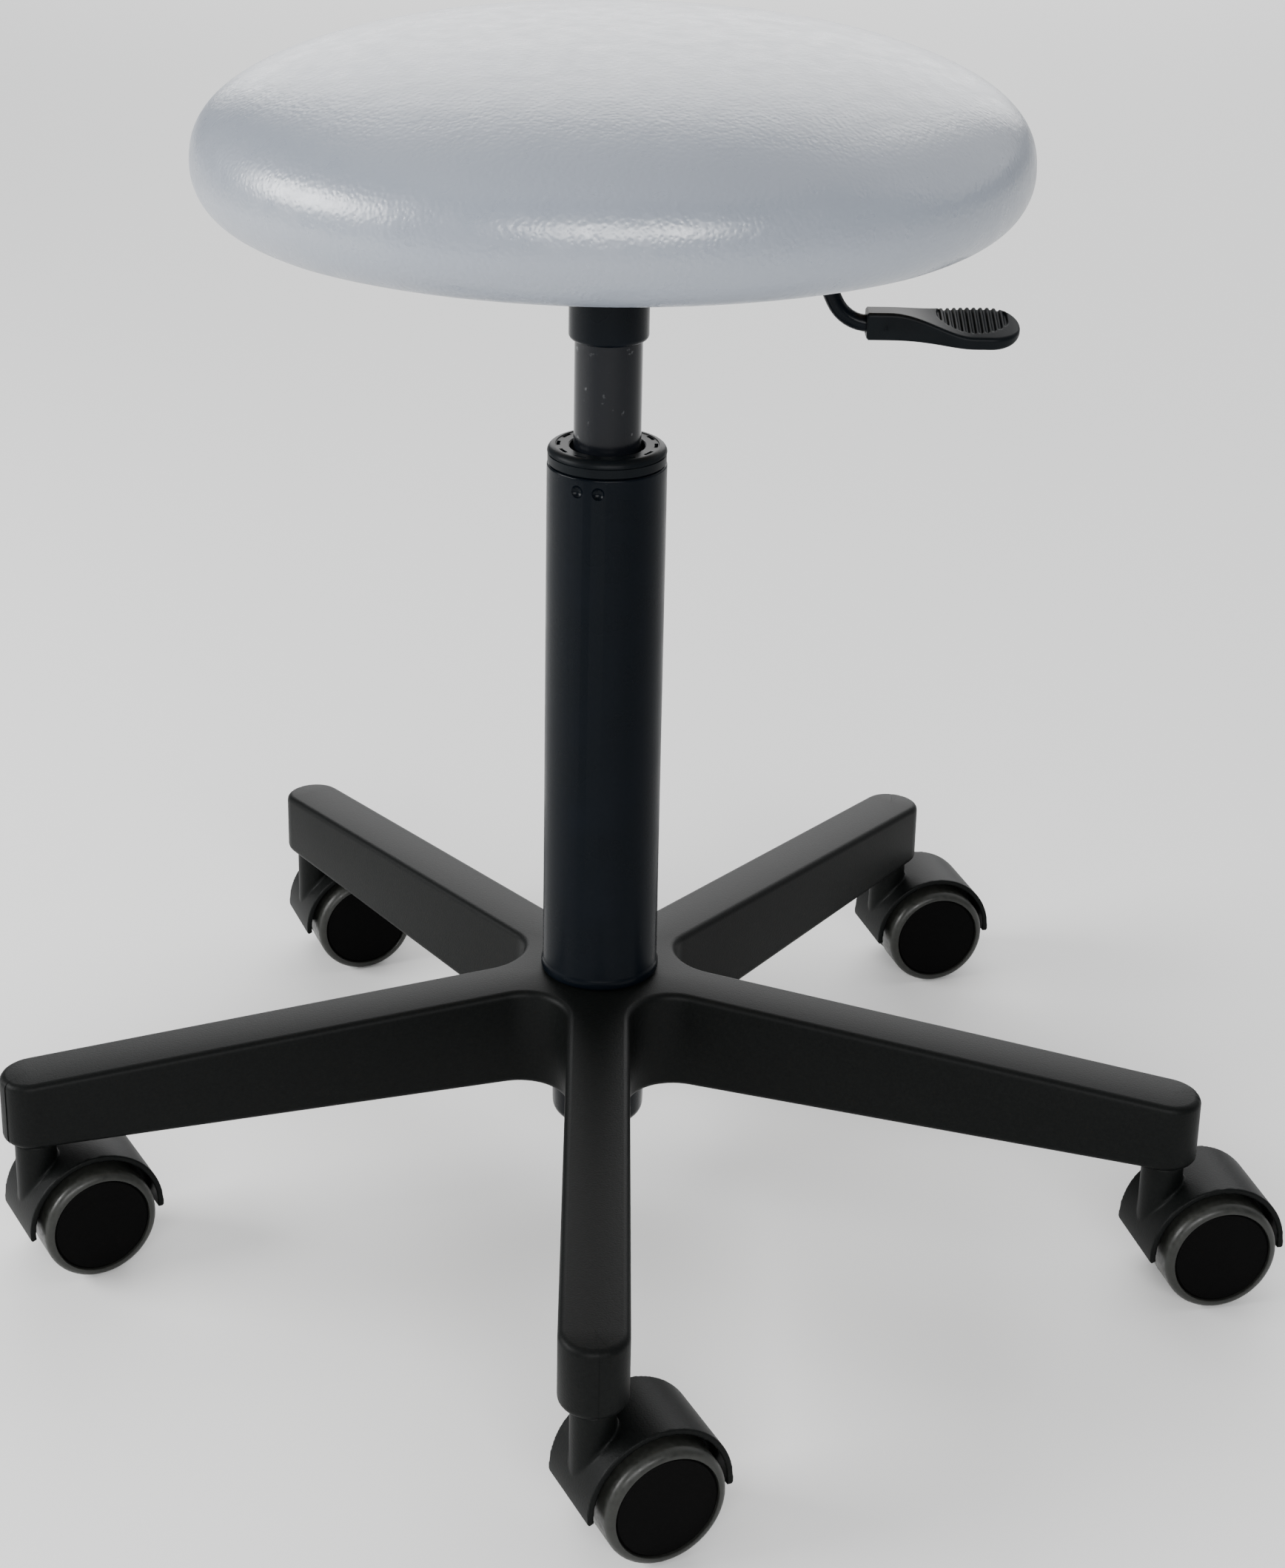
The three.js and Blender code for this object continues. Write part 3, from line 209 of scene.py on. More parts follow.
vinyl.node_tree.links.new(bump.outputs[0], shader.inputs["Normal"])
print(vinyl.name)

# %% [markdown]
# ### Glass-filled nylon
# The base and the castor hoods are injection moulded in black nylon with a third of glass fibre. Fibres at
# the skin make it matt and faintly mottled, and the spark-eroded mould leaves a fine even grit. Two noises:
# one about 1.4 mm for the mottle, one about 0.7 mm for the grit, which is really finer than the eye can see.

# %% Glass-filled nylon
nylon, shader = finish_named("glass_filled_nylon", Roughness=0.48, IOR=1.53, Specular_IOR_Level=0.08)
place = add(nylon, "ShaderNodeTexCoord").outputs["Object"]
mottle = add(nylon, "ShaderNodeTexNoise", {"Vector": place, "Scale": per_mm(1.4), "Detail": 3.0})
tone = add(
    nylon, "ShaderNodeMix", {0: mottle.outputs["Fac"], 6: paint("#030404"), 7: paint("#0d0f0e")},
    data_type="RGBA",
)
grit = add(nylon, "ShaderNodeTexNoise", {"Vector": place, "Scale": per_mm(0.7), "Detail": 2.0})
bump = add(nylon, "ShaderNodeBump", {"Height": grit.outputs["Fac"], "Strength": 0.3, "Distance": 0.25 * MM})
nylon.node_tree.links.new(tone.outputs[2], shader.inputs["Base Color"])
nylon.node_tree.links.new(bump.outputs[0], shader.inputs["Normal"])
print(nylon.name)

# %% [markdown]
# ### Powder coat
# The column, the sleeve and the seat pan are steel, sprayed with dry black polyester powder and baked. The
# film flows as it melts and sets with a very shallow orange peel, so reflections are satin and a little
# wavy. A soft noise of about 1.5 mm gives the peel.

# %% Powder coat
coat, shader = finish_named("black_powder_coat", Roughness=0.3, IOR=1.5, Specular_IOR_Level=0.08)
place = add(coat, "ShaderNodeTexCoord").outputs["Object"]
peel = add(coat, "ShaderNodeTexNoise", {"Vector": place, "Scale": per_mm(1.5), "Detail": 1.0})
dust = add(coat, "ShaderNodeTexNoise", {"Vector": place, "Scale": per_mm(25), "Detail": 3.0})
tone = add(
    coat, "ShaderNodeMix", {0: dust.outputs["Fac"], 6: paint("#020508"), 7: paint("#060b12")},
    data_type="RGBA",
)
haze = add(
    coat, "ShaderNodeMapRange",
    {"Value": dust.outputs["Fac"], "From Min": 0.3, "From Max": 0.7, "To Min": 0.24, "To Max": 0.34},
)
bump = add(coat, "ShaderNodeBump", {"Height": peel.outputs["Fac"], "Strength": 0.12, "Distance": 0.2 * MM})
coat.node_tree.links.new(tone.outputs[2], shader.inputs["Base Color"])
coat.node_tree.links.new(haze.outputs[0], shader.inputs["Roughness"])
coat.node_tree.links.new(bump.outputs[0], shader.inputs["Normal"])
print(coat.name)

# %% [markdown]
# ### Blackened steel tube
# The gas spring's tube is drawn steel, black over a smooth ground, and slightly shinier than the column.
# Drawing leaves faint lines along its length and the seat's travel adds small scuffs. A noise stretched fifty
# times along Z gives the lines, and a thresholded noise the few pale scuffs.

# %% Blackened steel tube
black_tube, shader = finish_named("blackened_steel", Roughness=0.2, IOR=1.5, Specular_IOR_Level=0.16)
place = add(black_tube, "ShaderNodeTexCoord").outputs["Object"]
along = add(black_tube, "ShaderNodeMapping", {"Vector": place, "Scale": (1, 1, 0.02)})
draw = add(
    black_tube, "ShaderNodeTexNoise", {"Vector": along.outputs[0], "Scale": per_mm(0.8), "Detail": 2.0}
)
specks = add(black_tube, "ShaderNodeTexNoise", {"Vector": place, "Scale": per_mm(3.5), "Detail": 2.0})
scuffs = add(
    black_tube, "ShaderNodeMapRange",
    {"Value": specks.outputs["Fac"], "From Min": 0.68, "From Max": 0.76, "To Min": 0.0, "To Max": 0.35},
)
tone = add(
    black_tube, "ShaderNodeMix", {0: scuffs.outputs[0], 6: paint("#0d0f13"), 7: paint("#6a6c6e")},
    data_type="RGBA",
)
bump = add(
    black_tube, "ShaderNodeBump", {"Height": draw.outputs["Fac"], "Strength": 0.1, "Distance": 0.1 * MM}
)
black_tube.node_tree.links.new(tone.outputs[2], shader.inputs["Base Color"])
black_tube.node_tree.links.new(bump.outputs[0], shader.inputs["Normal"])
print(black_tube.name)

# %% [markdown]
# ### Moulded acetal and polypropylene
# The guide bush, the grip and the small sealed pieces are black plastic straight from a lightly textured
# mould: smoother than the nylon, with a soft sheen.

# %% Moulded plastic
plastic, shader = finish_named("moulded_polypropylene", Roughness=0.38, IOR=1.49, Specular_IOR_Level=0.06)
place = add(plastic, "ShaderNodeTexCoord").outputs["Object"]
flow = add(plastic, "ShaderNodeTexNoise", {"Vector": place, "Scale": per_mm(12), "Detail": 3.0})
tone = add(
    plastic, "ShaderNodeMix", {0: flow.outputs["Fac"], 6: paint("#07090b"), 7: paint("#101417")},
    data_type="RGBA",
)
skin = add(plastic, "ShaderNodeTexNoise", {"Vector": place, "Scale": per_mm(0.6), "Detail": 2.0})
bump = add(
    plastic, "ShaderNodeBump", {"Height": skin.outputs["Fac"], "Strength": 0.15, "Distance": 0.12 * MM}
)
plastic.node_tree.links.new(tone.outputs[2], shader.inputs["Base Color"])
plastic.node_tree.links.new(bump.outputs[0], shader.inputs["Normal"])
print(plastic.name)

# %% [markdown]
# ### Polyurethane tread
# The wheels roll on a grey polyurethane tread, poured round the nylon core. It is dense and slightly glossy
# where the floor polishes it, with fine dirt. The buffer inside the column is dull natural rubber.

# %% Tread and rubber
tread, shader = finish_named("polyurethane_tread", Roughness=0.38, IOR=1.5, Specular_IOR_Level=0.3)
place = add(tread, "ShaderNodeTexCoord").outputs["Object"]
dirt = add(tread, "ShaderNodeTexNoise", {"Vector": place, "Scale": per_mm(2.2), "Detail": 4.0})
tone = add(
    tread, "ShaderNodeMix", {0: dirt.outputs["Fac"], 6: paint("#161715"), 7: paint("#2b2c29")},
    data_type="RGBA",
)
wear = add(
    tread, "ShaderNodeMapRange",
    {"Value": dirt.outputs["Fac"], "From Min": 0.3, "From Max": 0.7, "To Min": 0.3, "To Max": 0.5},
)
bump = add(tread, "ShaderNodeBump", {"Height": dirt.outputs["Fac"], "Strength": 0.12, "Distance": 0.2 * MM})
tread.node_tree.links.new(tone.outputs[2], shader.inputs["Base Color"])
tread.node_tree.links.new(wear.outputs[0], shader.inputs["Roughness"])
tread.node_tree.links.new(bump.outputs[0], shader.inputs["Normal"])

rubber, shader = finish_named("natural_rubber", Roughness=0.75, IOR=1.52)
place = add(rubber, "ShaderNodeTexCoord").outputs["Object"]
bloom = add(rubber, "ShaderNodeTexNoise", {"Vector": place, "Scale": per_mm(3), "Detail": 3.0})
tone = add(
    rubber, "ShaderNodeMix", {0: bloom.outputs["Fac"], 6: paint("#1b1b1a"), 7: paint("#2c2c2a")},
    data_type="RGBA",
)
bump = add(rubber, "ShaderNodeBump", {"Height": bloom.outputs["Fac"], "Strength": 0.2, "Distance": 0.2 * MM})
rubber.node_tree.links.new(tone.outputs[2], shader.inputs["Base Color"])
rubber.node_tree.links.new(bump.outputs[0], shader.inputs["Normal"])
print(tread.name, rubber.name)

# %% [markdown]
# ### Wheel caps
# The snap-in caps are the same nylon without glass, moulded against a finely etched steel, which swallows
# nearly all light. Its blacks are the deepest on the stool.

# %% Wheel caps
cap_nylon, shader = finish_named("etched_black_nylon", Roughness=0.62, IOR=1.53, Specular_IOR_Level=0.04)
place = add(cap_nylon, "ShaderNodeTexCoord").outputs["Object"]
etch = add(cap_nylon, "ShaderNodeTexNoise", {"Vector": place, "Scale": per_mm(0.9), "Detail": 2.0})
tone = add(
    cap_nylon, "ShaderNodeMix", {0: etch.outputs["Fac"], 6: paint("#010101"), 7: paint("#050505")},
    data_type="RGBA",
)
bump = add(
    cap_nylon, "ShaderNodeBump", {"Height": etch.outputs["Fac"], "Strength": 0.2, "Distance": 0.15 * MM}
)
cap_nylon.node_tree.links.new(tone.outputs[2], shader.inputs["Base Color"])
cap_nylon.node_tree.links.new(bump.outputs[0], shader.inputs["Normal"])
print(cap_nylon.name)

# %% [markdown]
# ### Zinc-plated steel and birch plywood
# Bolts, stems and axles are bright zinc plate with a faint blue passivation. The board under the seat is bare
# birch plywood, with pores and darker lines along its grain, so its noise is stretched along X.

# %% Zinc and plywood
zinc, shader = finish_named("zinc_plated_steel", Metallic=1.0, Roughness=0.34)
place = add(zinc, "ShaderNodeTexCoord").outputs["Object"]
cloud = add(zinc, "ShaderNodeTexNoise", {"Vector": place, "Scale": per_mm(6), "Detail": 3.0})
tone = add(
    zinc, "ShaderNodeMix", {0: cloud.outputs["Fac"], 6: paint("#9fa6ad"), 7: paint("#c9cac4")},
    data_type="RGBA",
)
wear = add(
    zinc, "ShaderNodeMapRange",
    {"Value": cloud.outputs["Fac"], "From Min": 0.3, "From Max": 0.7, "To Min": 0.26, "To Max": 0.42},
)
zinc.node_tree.links.new(tone.outputs[2], shader.inputs["Base Color"])
zinc.node_tree.links.new(wear.outputs[0], shader.inputs["Roughness"])

plywood, shader = finish_named("birch_plywood", Roughness=0.68, IOR=1.5)
place = add(plywood, "ShaderNodeTexCoord").outputs["Object"]
along = add(plywood, "ShaderNodeMapping", {"Vector": place, "Scale": (0.06, 1, 1)})
grain = add(plywood, "ShaderNodeTexNoise", {"Vector": along.outputs[0], "Scale": per_mm(4), "Detail": 5.0})
tone = add(
    plywood, "ShaderNodeMix", {0: grain.outputs["Fac"], 6: paint("#a27f52"), 7: paint("#d3b487")},
    data_type="RGBA",
)
bump = add(
    plywood, "ShaderNodeBump", {"Height": grain.outputs["Fac"], "Strength": 0.25, "Distance": 0.2 * MM}
)
plywood.node_tree.links.new(tone.outputs[2], shader.inputs["Base Color"])
plywood.node_tree.links.new(bump.outputs[0], shader.inputs["Normal"])
print(zinc.name, plywood.name)

# %% [markdown]
# ## Pieces that keep their measured shape
# Bolts, pins, washers, stems, axles and what is sealed inside the column are already right. They stay as they
# are and only change their finish, in their own material slots.

# %% Finishes for the kept pieces
KEPT = {
    zinc: ["bearing_washer_lower", "bearing_washer_upper", "piston_rod", "thrust_bearing", "retaining_clip",
           "valve_body", "release_button", "pivot_pin"],
    plastic: ["piston", "rod_seal"],
    rubber: ["rubber_buffer"],
    coat: ["lever_bracket"],
    plywood: ["seat_board"],
}
CASTORS = ("front", "right", "back_right", "back_left", "left")
KEPT[zinc] += [f"{piece}_{which}" for piece in ("stem", "axle") for which in CASTORS]
KEPT[zinc] += [f"{piece}_{number}" for piece in ("seat_bolt", "tee_nut") for number in (1, 2, 3, 4)]
for material, names in KEPT.items():
    for name in names:
        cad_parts[name].data.materials.clear()
        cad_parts[name].data.materials.append(material)
print("kept", sum(len(names) for names in KEPT.values()), "nodes")

# %% [markdown]
# ## Modelling helpers
# Most of the stool is turned or swept. By hand, a turned piece starts as one corner point, which is extruded
# into a profile and then spun round the axis. A swept piece starts as one drawn line, which is extruded again
# and again, each new line being moved to its own shape. These helpers do just that.


# %% Helpers for modelling
MERGE = 1e-6
SMOOTH_BELOW = math.radians(30)


def pick(piece=None):
    """Leaves edit mode and selects this piece alone, or nothing."""
    if bpy.context.object and bpy.context.object.mode != "OBJECT":
        bpy.ops.object.mode_set(mode="OBJECT")
    bpy.ops.object.select_all(action="DESELECT")
    if piece:
        piece.select_set(True)
        bpy.context.view_layer.objects.active = piece


def drawn(name, points):
    """A line through points in millimetres: a single corner, extruded from point to point."""
    pick()
    bpy.ops.mesh.primitive_plane_add(size=MM)
    piece = bpy.context.object
    piece.name = piece.data.name = name
    bpy.ops.object.mode_set(mode="EDIT")
    bpy.ops.mesh.select_mode(type="VERT")
    bpy.ops.mesh.select_all(action="SELECT")
    bpy.ops.mesh.merge(type="CENTER")
    bpy.ops.transform.translate(value=Vector(points[0]) * MM)
    for start, end in zip(points, points[1:]):
        step = (Vector(end) - Vector(start)) * MM
        bpy.ops.mesh.extrude_region_move(TRANSFORM_OT_translate={"value": step})
    bpy.ops.object.mode_set(mode="OBJECT")
    return piece


def closed(piece):
    """Merges seams and poles, closes open ends, turns faces outward and smooths below an angle."""
    pick(piece)
    bpy.ops.object.mode_set(mode="EDIT")
    bpy.ops.mesh.select_mode(type="VERT")
    bpy.ops.mesh.select_all(action="SELECT")
    bpy.ops.mesh.remove_doubles(threshold=MERGE)
    bpy.ops.mesh.fill_holes(sides=0)
    bpy.ops.mesh.select_all(action="SELECT")
    bpy.ops.mesh.normals_make_consistent(inside=False)
    bpy.ops.object.mode_set(mode="OBJECT")
    bpy.ops.object.shade_smooth_by_angle(angle=SMOOTH_BELOW)
    return piece


def spun(name, points, axis=(0, 0, 1), turn=360, steps=96):
    """A profile of points in millimetres, spun round an axis through the origin."""
    piece = drawn(name, points)
    bpy.ops.object.mode_set(mode="EDIT")
    bpy.ops.mesh.select_all(action="SELECT")
    bpy.ops.mesh.spin(steps=steps, angle=math.radians(turn), center=(0, 0, 0), axis=axis)
    return closed(piece)


def copied_round(count):
    """Copies all of the piece at hand round Z until there are this many, and stays in edit mode."""
    bpy.ops.object.mode_set(mode="EDIT")
    bpy.ops.mesh.select_all(action="SELECT")
    around = math.radians(360 - 360 / count)
    bpy.ops.mesh.spin(steps=count - 1, dupli=True, angle=around, center=(0, 0, 0), axis=(0, 0, 1))


def turned(name, profile, steps=96):
    """A piece turned about Z from [radius, height] points."""
    return spun(name, [(radius, 0, height) for radius, height in profile], steps=steps)


def swept(name, lines, close=True):
    """A skin through lines of points: the first is drawn, then extruded and reshaped to each other one."""
    piece = drawn(name, lines[0])
    order = piece.data.attributes.new("order", "INT", "POINT")
    order.data.foreach_set("value", range(len(lines[0])))
    bpy.ops.object.mode_set(mode="EDIT")
    bpy.ops.mesh.select_all(action="SELECT")
    for line in lines[1:]:
        bpy.ops.mesh.extrude_region_move()
        bpy.ops.object.mode_set(mode="OBJECT")
        order = piece.data.attributes["order"].data
        for corner in piece.data.vertices:
            if corner.select:
                corner.co = Vector(line[order[corner.index].value]) * MM
        bpy.ops.object.mode_set(mode="EDIT")
    bpy.ops.object.mode_set(mode="OBJECT")
    piece.data.attributes.remove(piece.data.attributes["order"])
    return closed(piece) if close else piece


def arc(centre, radius, start, end, steps):
    """Points of an arc in a profile, from one angle to another in degrees."""
    angles = [math.radians(start + (end - start) * i / steps) for i in range(steps + 1)]
    return [(centre[0] + radius * math.cos(a), centre[1] + radius * math.sin(a)) for a in angles]


def moved(piece, place):
    """Puts a piece in its place, and the place into its mesh."""
    piece.matrix_world = place
    pick(piece)
    bpy.ops.object.transform_apply(location=True, rotation=True, scale=True)
    return piece


def joined(piece, *others):
    """Joins other pieces into this one."""
    pick(piece)
    for other in others:
        other.select_set(True)
    bpy.ops.object.join()
    return piece


def applied(piece, kind, **settings):
    """Gives a piece a modifier with these settings, and applies it."""
    pick(piece)
    change = piece.modifiers.new(kind.lower(), kind)
    for name, value in settings.items():
        setattr(change, name, value)
    bpy.ops.object.modifier_apply(modifier=change.name)


def carved(piece, tool, solver="EXACT"):
    """Cuts a piece with a tool, which is used up."""
    applied(piece, "BOOLEAN", operation="DIFFERENCE", solver=solver, object=tool)
    bpy.data.objects.remove(tool)
    bpy.ops.object.shade_smooth_by_angle(angle=SMOOTH_BELOW)
    return piece


def shown(piece, body, slot, material, *nodes):
    """Gives a piece its finish, its body and the nodes that it stands for."""
    if not piece.data.materials:
        piece.data.materials.append(material)
    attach(piece, body)
    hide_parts(*nodes)
    print(piece.name, len(piece.data.polygons), "faces on", body)


def span(node):
    """The lowest and highest corner of a measured node, in millimetres."""
    low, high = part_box(node)
    return low / MM, high / MM


column_low, column_high = span("column_tube")
AXIS = Matrix.Translation((column_low + column_high) / 2 * MM)
AXIS.translation.z = 0
print("column axis at", [round(v / MM, 2) for v in AXIS.translation], "mm")

# %% [markdown]
# ## Five-arm base
# A base like this is one moulding, open underneath to save weight. It could be five stretched boxes joined in
# the middle, but the soft fillets between the arms would be hard to add. So the plan is drawn instead: the
# line round one fifth of the star, from the tip of one arm to the tip of the next. The line is swept through
# the section: the flat top, a 3 mm round, the side, the rim, and the hollow inside. Five copies close the
# star, and the hub's boss is extruded down round the column's bore.

# %% Five-arm base
ARMS = 5
ARM_REACH = 250
ARM_HALF_WIDTH = 13.4
ARM_FILLET = 20
ARM_ROUND = 3
ARM_WALL = 3.5
ARM_ROOF = 4
BORE_TOP, BORE_BOTTOM = 22.3, 21.16
BOSS_RADIUS = 27
TUBE_ABOVE_HUB = 233.4
TIP_RISE, TIP_HEIGHT = 1.4, 30.6
HUB_BOTTOM, HUB_TOP = span("star_base")[0].z, column_high.z - TUBE_ABOVE_HUB
TIP_BOTTOM, TIP_TOP = HUB_BOTTOM + TIP_RISE, HUB_BOTTOM + TIP_RISE + TIP_HEIGHT
HUB_FLAT = 26


def arm_top(x, y):
    along = max(0, (math.hypot(x, y) - HUB_FLAT) / (ARM_REACH - HUB_FLAT))
    return HUB_TOP + (TIP_TOP - HUB_TOP) * along


def arm_bottom(x, y):
    return HUB_BOTTOM + (TIP_BOTTOM - HUB_BOTTOM) * math.hypot(x, y) / ARM_REACH


def half_star():
    """Stations from an arm's tip to the middle of the bay: edge point, outward direction, middle point."""
    stations = []
    half_step = math.pi / ARMS
    bay = (ARM_HALF_WIDTH + ARM_FILLET) / math.sin(half_step)
    tangent = bay * math.cos(half_step)
    for i in range(11):
        a = math.pi / 2 * i / 10
        out = Vector((math.cos(a), math.sin(a)))
        stations.append((Vector((ARM_REACH, 0)) + ARM_HALF_WIDTH * out, out, (ARM_REACH, None)))
    for i in range(1, 9):
        d = ARM_REACH + (tangent - ARM_REACH) * i / 8
        stations.append((Vector((d, ARM_HALF_WIDTH)), Vector((0, 1)), (d, None)))
    centre = bay * Vector((math.cos(half_step), math.sin(half_step)))
    for i in range(10):
        a = math.radians(-90 - 54 * i / 9)
        back = Vector((math.cos(a), math.sin(a)))
        stations.append((centre + ARM_FILLET * back, -back, (None, half_step * i / 9)))
    return stations


def mirrored(station):
    """The same station beyond the middle of the bay."""
    edge, out, (along, round_hub) = station
    twice = 2 * math.pi / ARMS
    flip = Matrix(((math.cos(twice), math.sin(twice)), (math.sin(twice), -math.cos(twice))))
    return flip @ edge, flip @ out, (along, None if round_hub is None else twice - round_hub), True


def star_line(inset, height, hub_radius=None):
    """One line of the sweep: the star's edge drawn in by an inset, or its middle line where that is None."""
    points = []
    for station in STAR:
        edge, out, (along, round_hub) = station[:3]
        if inset is None:
            turn = 2 * math.pi / ARMS if len(station) > 3 and round_hub is None else round_hub or 0
            reach = hub_radius if along is None else along
            x, y = reach * math.cos(turn), reach * math.sin(turn)
        else:
            x, y = edge - inset * out
        points.append((x, y, height(x, y)))
    return points


half = half_star()
STAR = half + [mirrored(station) for station in reversed(half[:-1])]
lines = [star_line(None, arm_top, BORE_TOP)]
for angle in (0, 22.5, 45, 67.5, 90):
    drop = ARM_ROUND * (1 - math.cos(math.radians(angle)))
    inset = ARM_ROUND * (1 - math.sin(math.radians(angle)))
    lines.append(star_line(inset, lambda x, y, drop=drop: arm_top(x, y) - drop))
for angle in (0, 22.5, 45, 67.5, 90):
    rise = ARM_ROUND * (1 - math.sin(math.radians(angle)))
    inset = ARM_ROUND * (1 - math.cos(math.radians(angle)))
    lines.append(star_line(inset, lambda x, y, rise=rise: arm_bottom(x, y) + rise))
lines.append(star_line(ARM_WALL, arm_bottom))
lines.append(star_line(ARM_WALL, lambda x, y: arm_top(x, y) - ARM_ROOF))
lines.append(star_line(None, lambda x, y: arm_top(x, y) - ARM_ROOF, BOSS_RADIUS))
base = swept("base_moulding", lines, close=False)
copied_round(ARMS)
bpy.ops.mesh.select_all(action="SELECT")
bpy.ops.mesh.remove_doubles(threshold=MERGE)


def select_ring(piece, radius, height):
    """Selects, in edit mode, the corners at a radius and a height in millimetres, and no others."""
    bpy.ops.mesh.select_all(action="DESELECT")
    bpy.ops.object.mode_set(mode="OBJECT")
    for corner in piece.data.vertices:
        at_radius = abs(corner.co.xy.length / MM - radius) < 0.05
        corner.select = at_radius and abs(corner.co.z / MM - height) < 0.05
    bpy.ops.object.mode_set(mode="EDIT")


boss_height = arm_top(BOSS_RADIUS, 0) - ARM_ROOF
select_ring(base, BOSS_RADIUS, boss_height)
boss_drop = (HUB_BOTTOM + 0.3 - boss_height) * MM
bpy.ops.mesh.extrude_region_move(TRANSFORM_OT_translate={"value": (0, 0, boss_drop)})
bpy.ops.mesh.extrude_region_move()
shrink = BORE_BOTTOM / BOSS_RADIUS
bpy.ops.transform.resize(value=(shrink, shrink, 1), center_override=(0, 0, 0))
bpy.ops.mesh.extrude_region_move()
bpy.ops.object.mode_set(mode="OBJECT")
for corner in base.data.vertices:
    if corner.select:
        corner.co = corner.co.xy.normalized().to_3d() * BORE_TOP * MM + Vector((0, 0, HUB_TOP * MM))
closed(base)
print("base shell", len(base.data.polygons), "faces")

# %% [markdown]
# Under each arm there are four cross ribs and a round socket for the castor's stem. The rib is a bevelled
# slab and the socket is turned. Each is modelled once and copied.

# %% Ribs and sockets
RIBS = 4
RIB_THICKNESS = 2.5
SOCKET_BORE, SOCKET_RADIUS, SOCKET_DEPTH = 5.8, 9.4, 22.3


def twin(piece, name):
    """A copy of a piece with its own mesh."""
    copy = piece.copy()
    copy.data = piece.data.copy()
    copy.name = copy.data.name = name
    bpy.context.scene.collection.objects.link(copy)
    return copy


def rounded_slab(name, size, bevel):
    """A box of a size in millimetres, centred on the origin, with bevelled edges."""
    pick()
    bpy.ops.mesh.primitive_cube_add(size=1)
    slab = bpy.context.object
    slab.name = slab.data.name = name
    moved(slab, Matrix.Diagonal((*(Vector(size) * MM), 1)))
    bpy.ops.object.mode_set(mode="EDIT")
    bpy.ops.mesh.select_all(action="SELECT")
    bpy.ops.mesh.bevel(offset=bevel * MM, segments=2)
    bpy.ops.object.mode_set(mode="OBJECT")
    return slab


extras = []
socket_top = TIP_TOP - ARM_ROOF / 2
socket = turned("socket", [
    (SOCKET_BORE, TIP_BOTTOM), (SOCKET_RADIUS - 0.5, TIP_BOTTOM), (SOCKET_RADIUS, TIP_BOTTOM + 0.5),
    (SOCKET_RADIUS, socket_top), (0, socket_top), (0, TIP_BOTTOM + SOCKET_DEPTH),
    (SOCKET_BORE, TIP_BOTTOM + SOCKET_DEPTH), (SOCKET_BORE, TIP_BOTTOM),
], 32)
for arm in range(ARMS):
    turn = Matrix.Rotation(math.radians(360 / ARMS * arm), 4, "Z")
    extras.append(moved(twin(socket, "socket"), turn @ Matrix.Translation((ARM_REACH * MM, 0, 0))))
    for number in range(1, RIBS + 1):
        reach = HUB_FLAT + (ARM_REACH - HUB_FLAT) * number / (RIBS + 1)
        low, high = arm_bottom(reach, 0) + ARM_WALL, arm_top(reach, 0) - ARM_ROOF / 2
        rib = rounded_slab("rib", (RIB_THICKNESS, 2 * ARM_HALF_WIDTH - ARM_WALL, high - low), 0.4)
        middle = Vector((reach + RIB_THICKNESS / 2, 0, (low + high) / 2))
        extras.append(moved(rib, turn @ Matrix.Translation(middle * MM)))
bpy.data.objects.remove(socket)
joined(base, *extras)
moved(base, AXIS @ Matrix.Rotation(-math.pi / 2, 4, "Z"))
bpy.ops.object.shade_smooth_by_angle(angle=SMOOTH_BELOW)
shown(base, "base", "nylon", nylon, "star_base")

# %% [markdown]
# ## Column
# The column is a steel tube pressed into the hub: a tapered spigot below, a rolled bead at its foot, and a
# rolled edge on top. Six small crimps hold the plastic bush in it. A profile spun round the axis gives the
# tube, and each crimp is the print of a ball, so balls are cut from it.

# %% Column
COLUMN_RADIUS = 25
COLUMN_INSIDE = 23
SPIGOT_TOP, SPIGOT_END = 22, 20.2
foot, rim, spigot_end = HUB_TOP + 0.3, column_high.z, column_low.z
column = turned("column_tube_coated", [
    (4.4, spigot_end), *arc((SPIGOT_END - 5, spigot_end + 5), 5, -90, 0, 8), (SPIGOT_TOP, foot),
    (COLUMN_RADIUS - 0.9, foot), *arc((COLUMN_RADIUS - 0.4, foot + 1.1), 1.1, -90, 0, 6),
    (COLUMN_RADIUS + 0.7, foot + 3), (COLUMN_RADIUS + 0.35, foot + 4.2), (COLUMN_RADIUS, foot + 5),
    *arc((COLUMN_RADIUS - 0.9, rim - 0.9), 0.9, 0, 90, 5), (COLUMN_INSIDE, rim),
    (COLUMN_INSIDE, foot + 5), (SPIGOT_TOP - 2, foot - 2), (SPIGOT_END - 2, spigot_end + 5),
    (15.2, spigot_end + 2.5), (4.4, spigot_end + 2.5), (4.4, spigot_end),
], 128)
CRIMP_BALL, CRIMP_DEPTH = 3.2, 1.6
for pair in range(3):
    for side in (-10.5, 10.5):
        angle = math.radians(-108.5 + 120 * pair + side)
        reach = COLUMN_RADIUS + CRIMP_BALL - CRIMP_DEPTH
        pick()
        bpy.ops.mesh.primitive_uv_sphere_add(
            segments=24, ring_count=16, radius=CRIMP_BALL * MM,
            location=Vector((reach * math.cos(angle), reach * math.sin(angle), rim - 6)) * MM,
        )
        carved(column, bpy.context.object)
moved(column, AXIS)
shown(column, "base", "black_paint", coat, "column_tube")

# %% [markdown]
# The guide bush that the tube slides in closes the column. Its head has a band, a fine groove, a rounded
# shoulder and a flat face, broken by twelve short curved slots where the mould's core came out. The slots are
# cut with a ring segment, spun and copied round the axis.

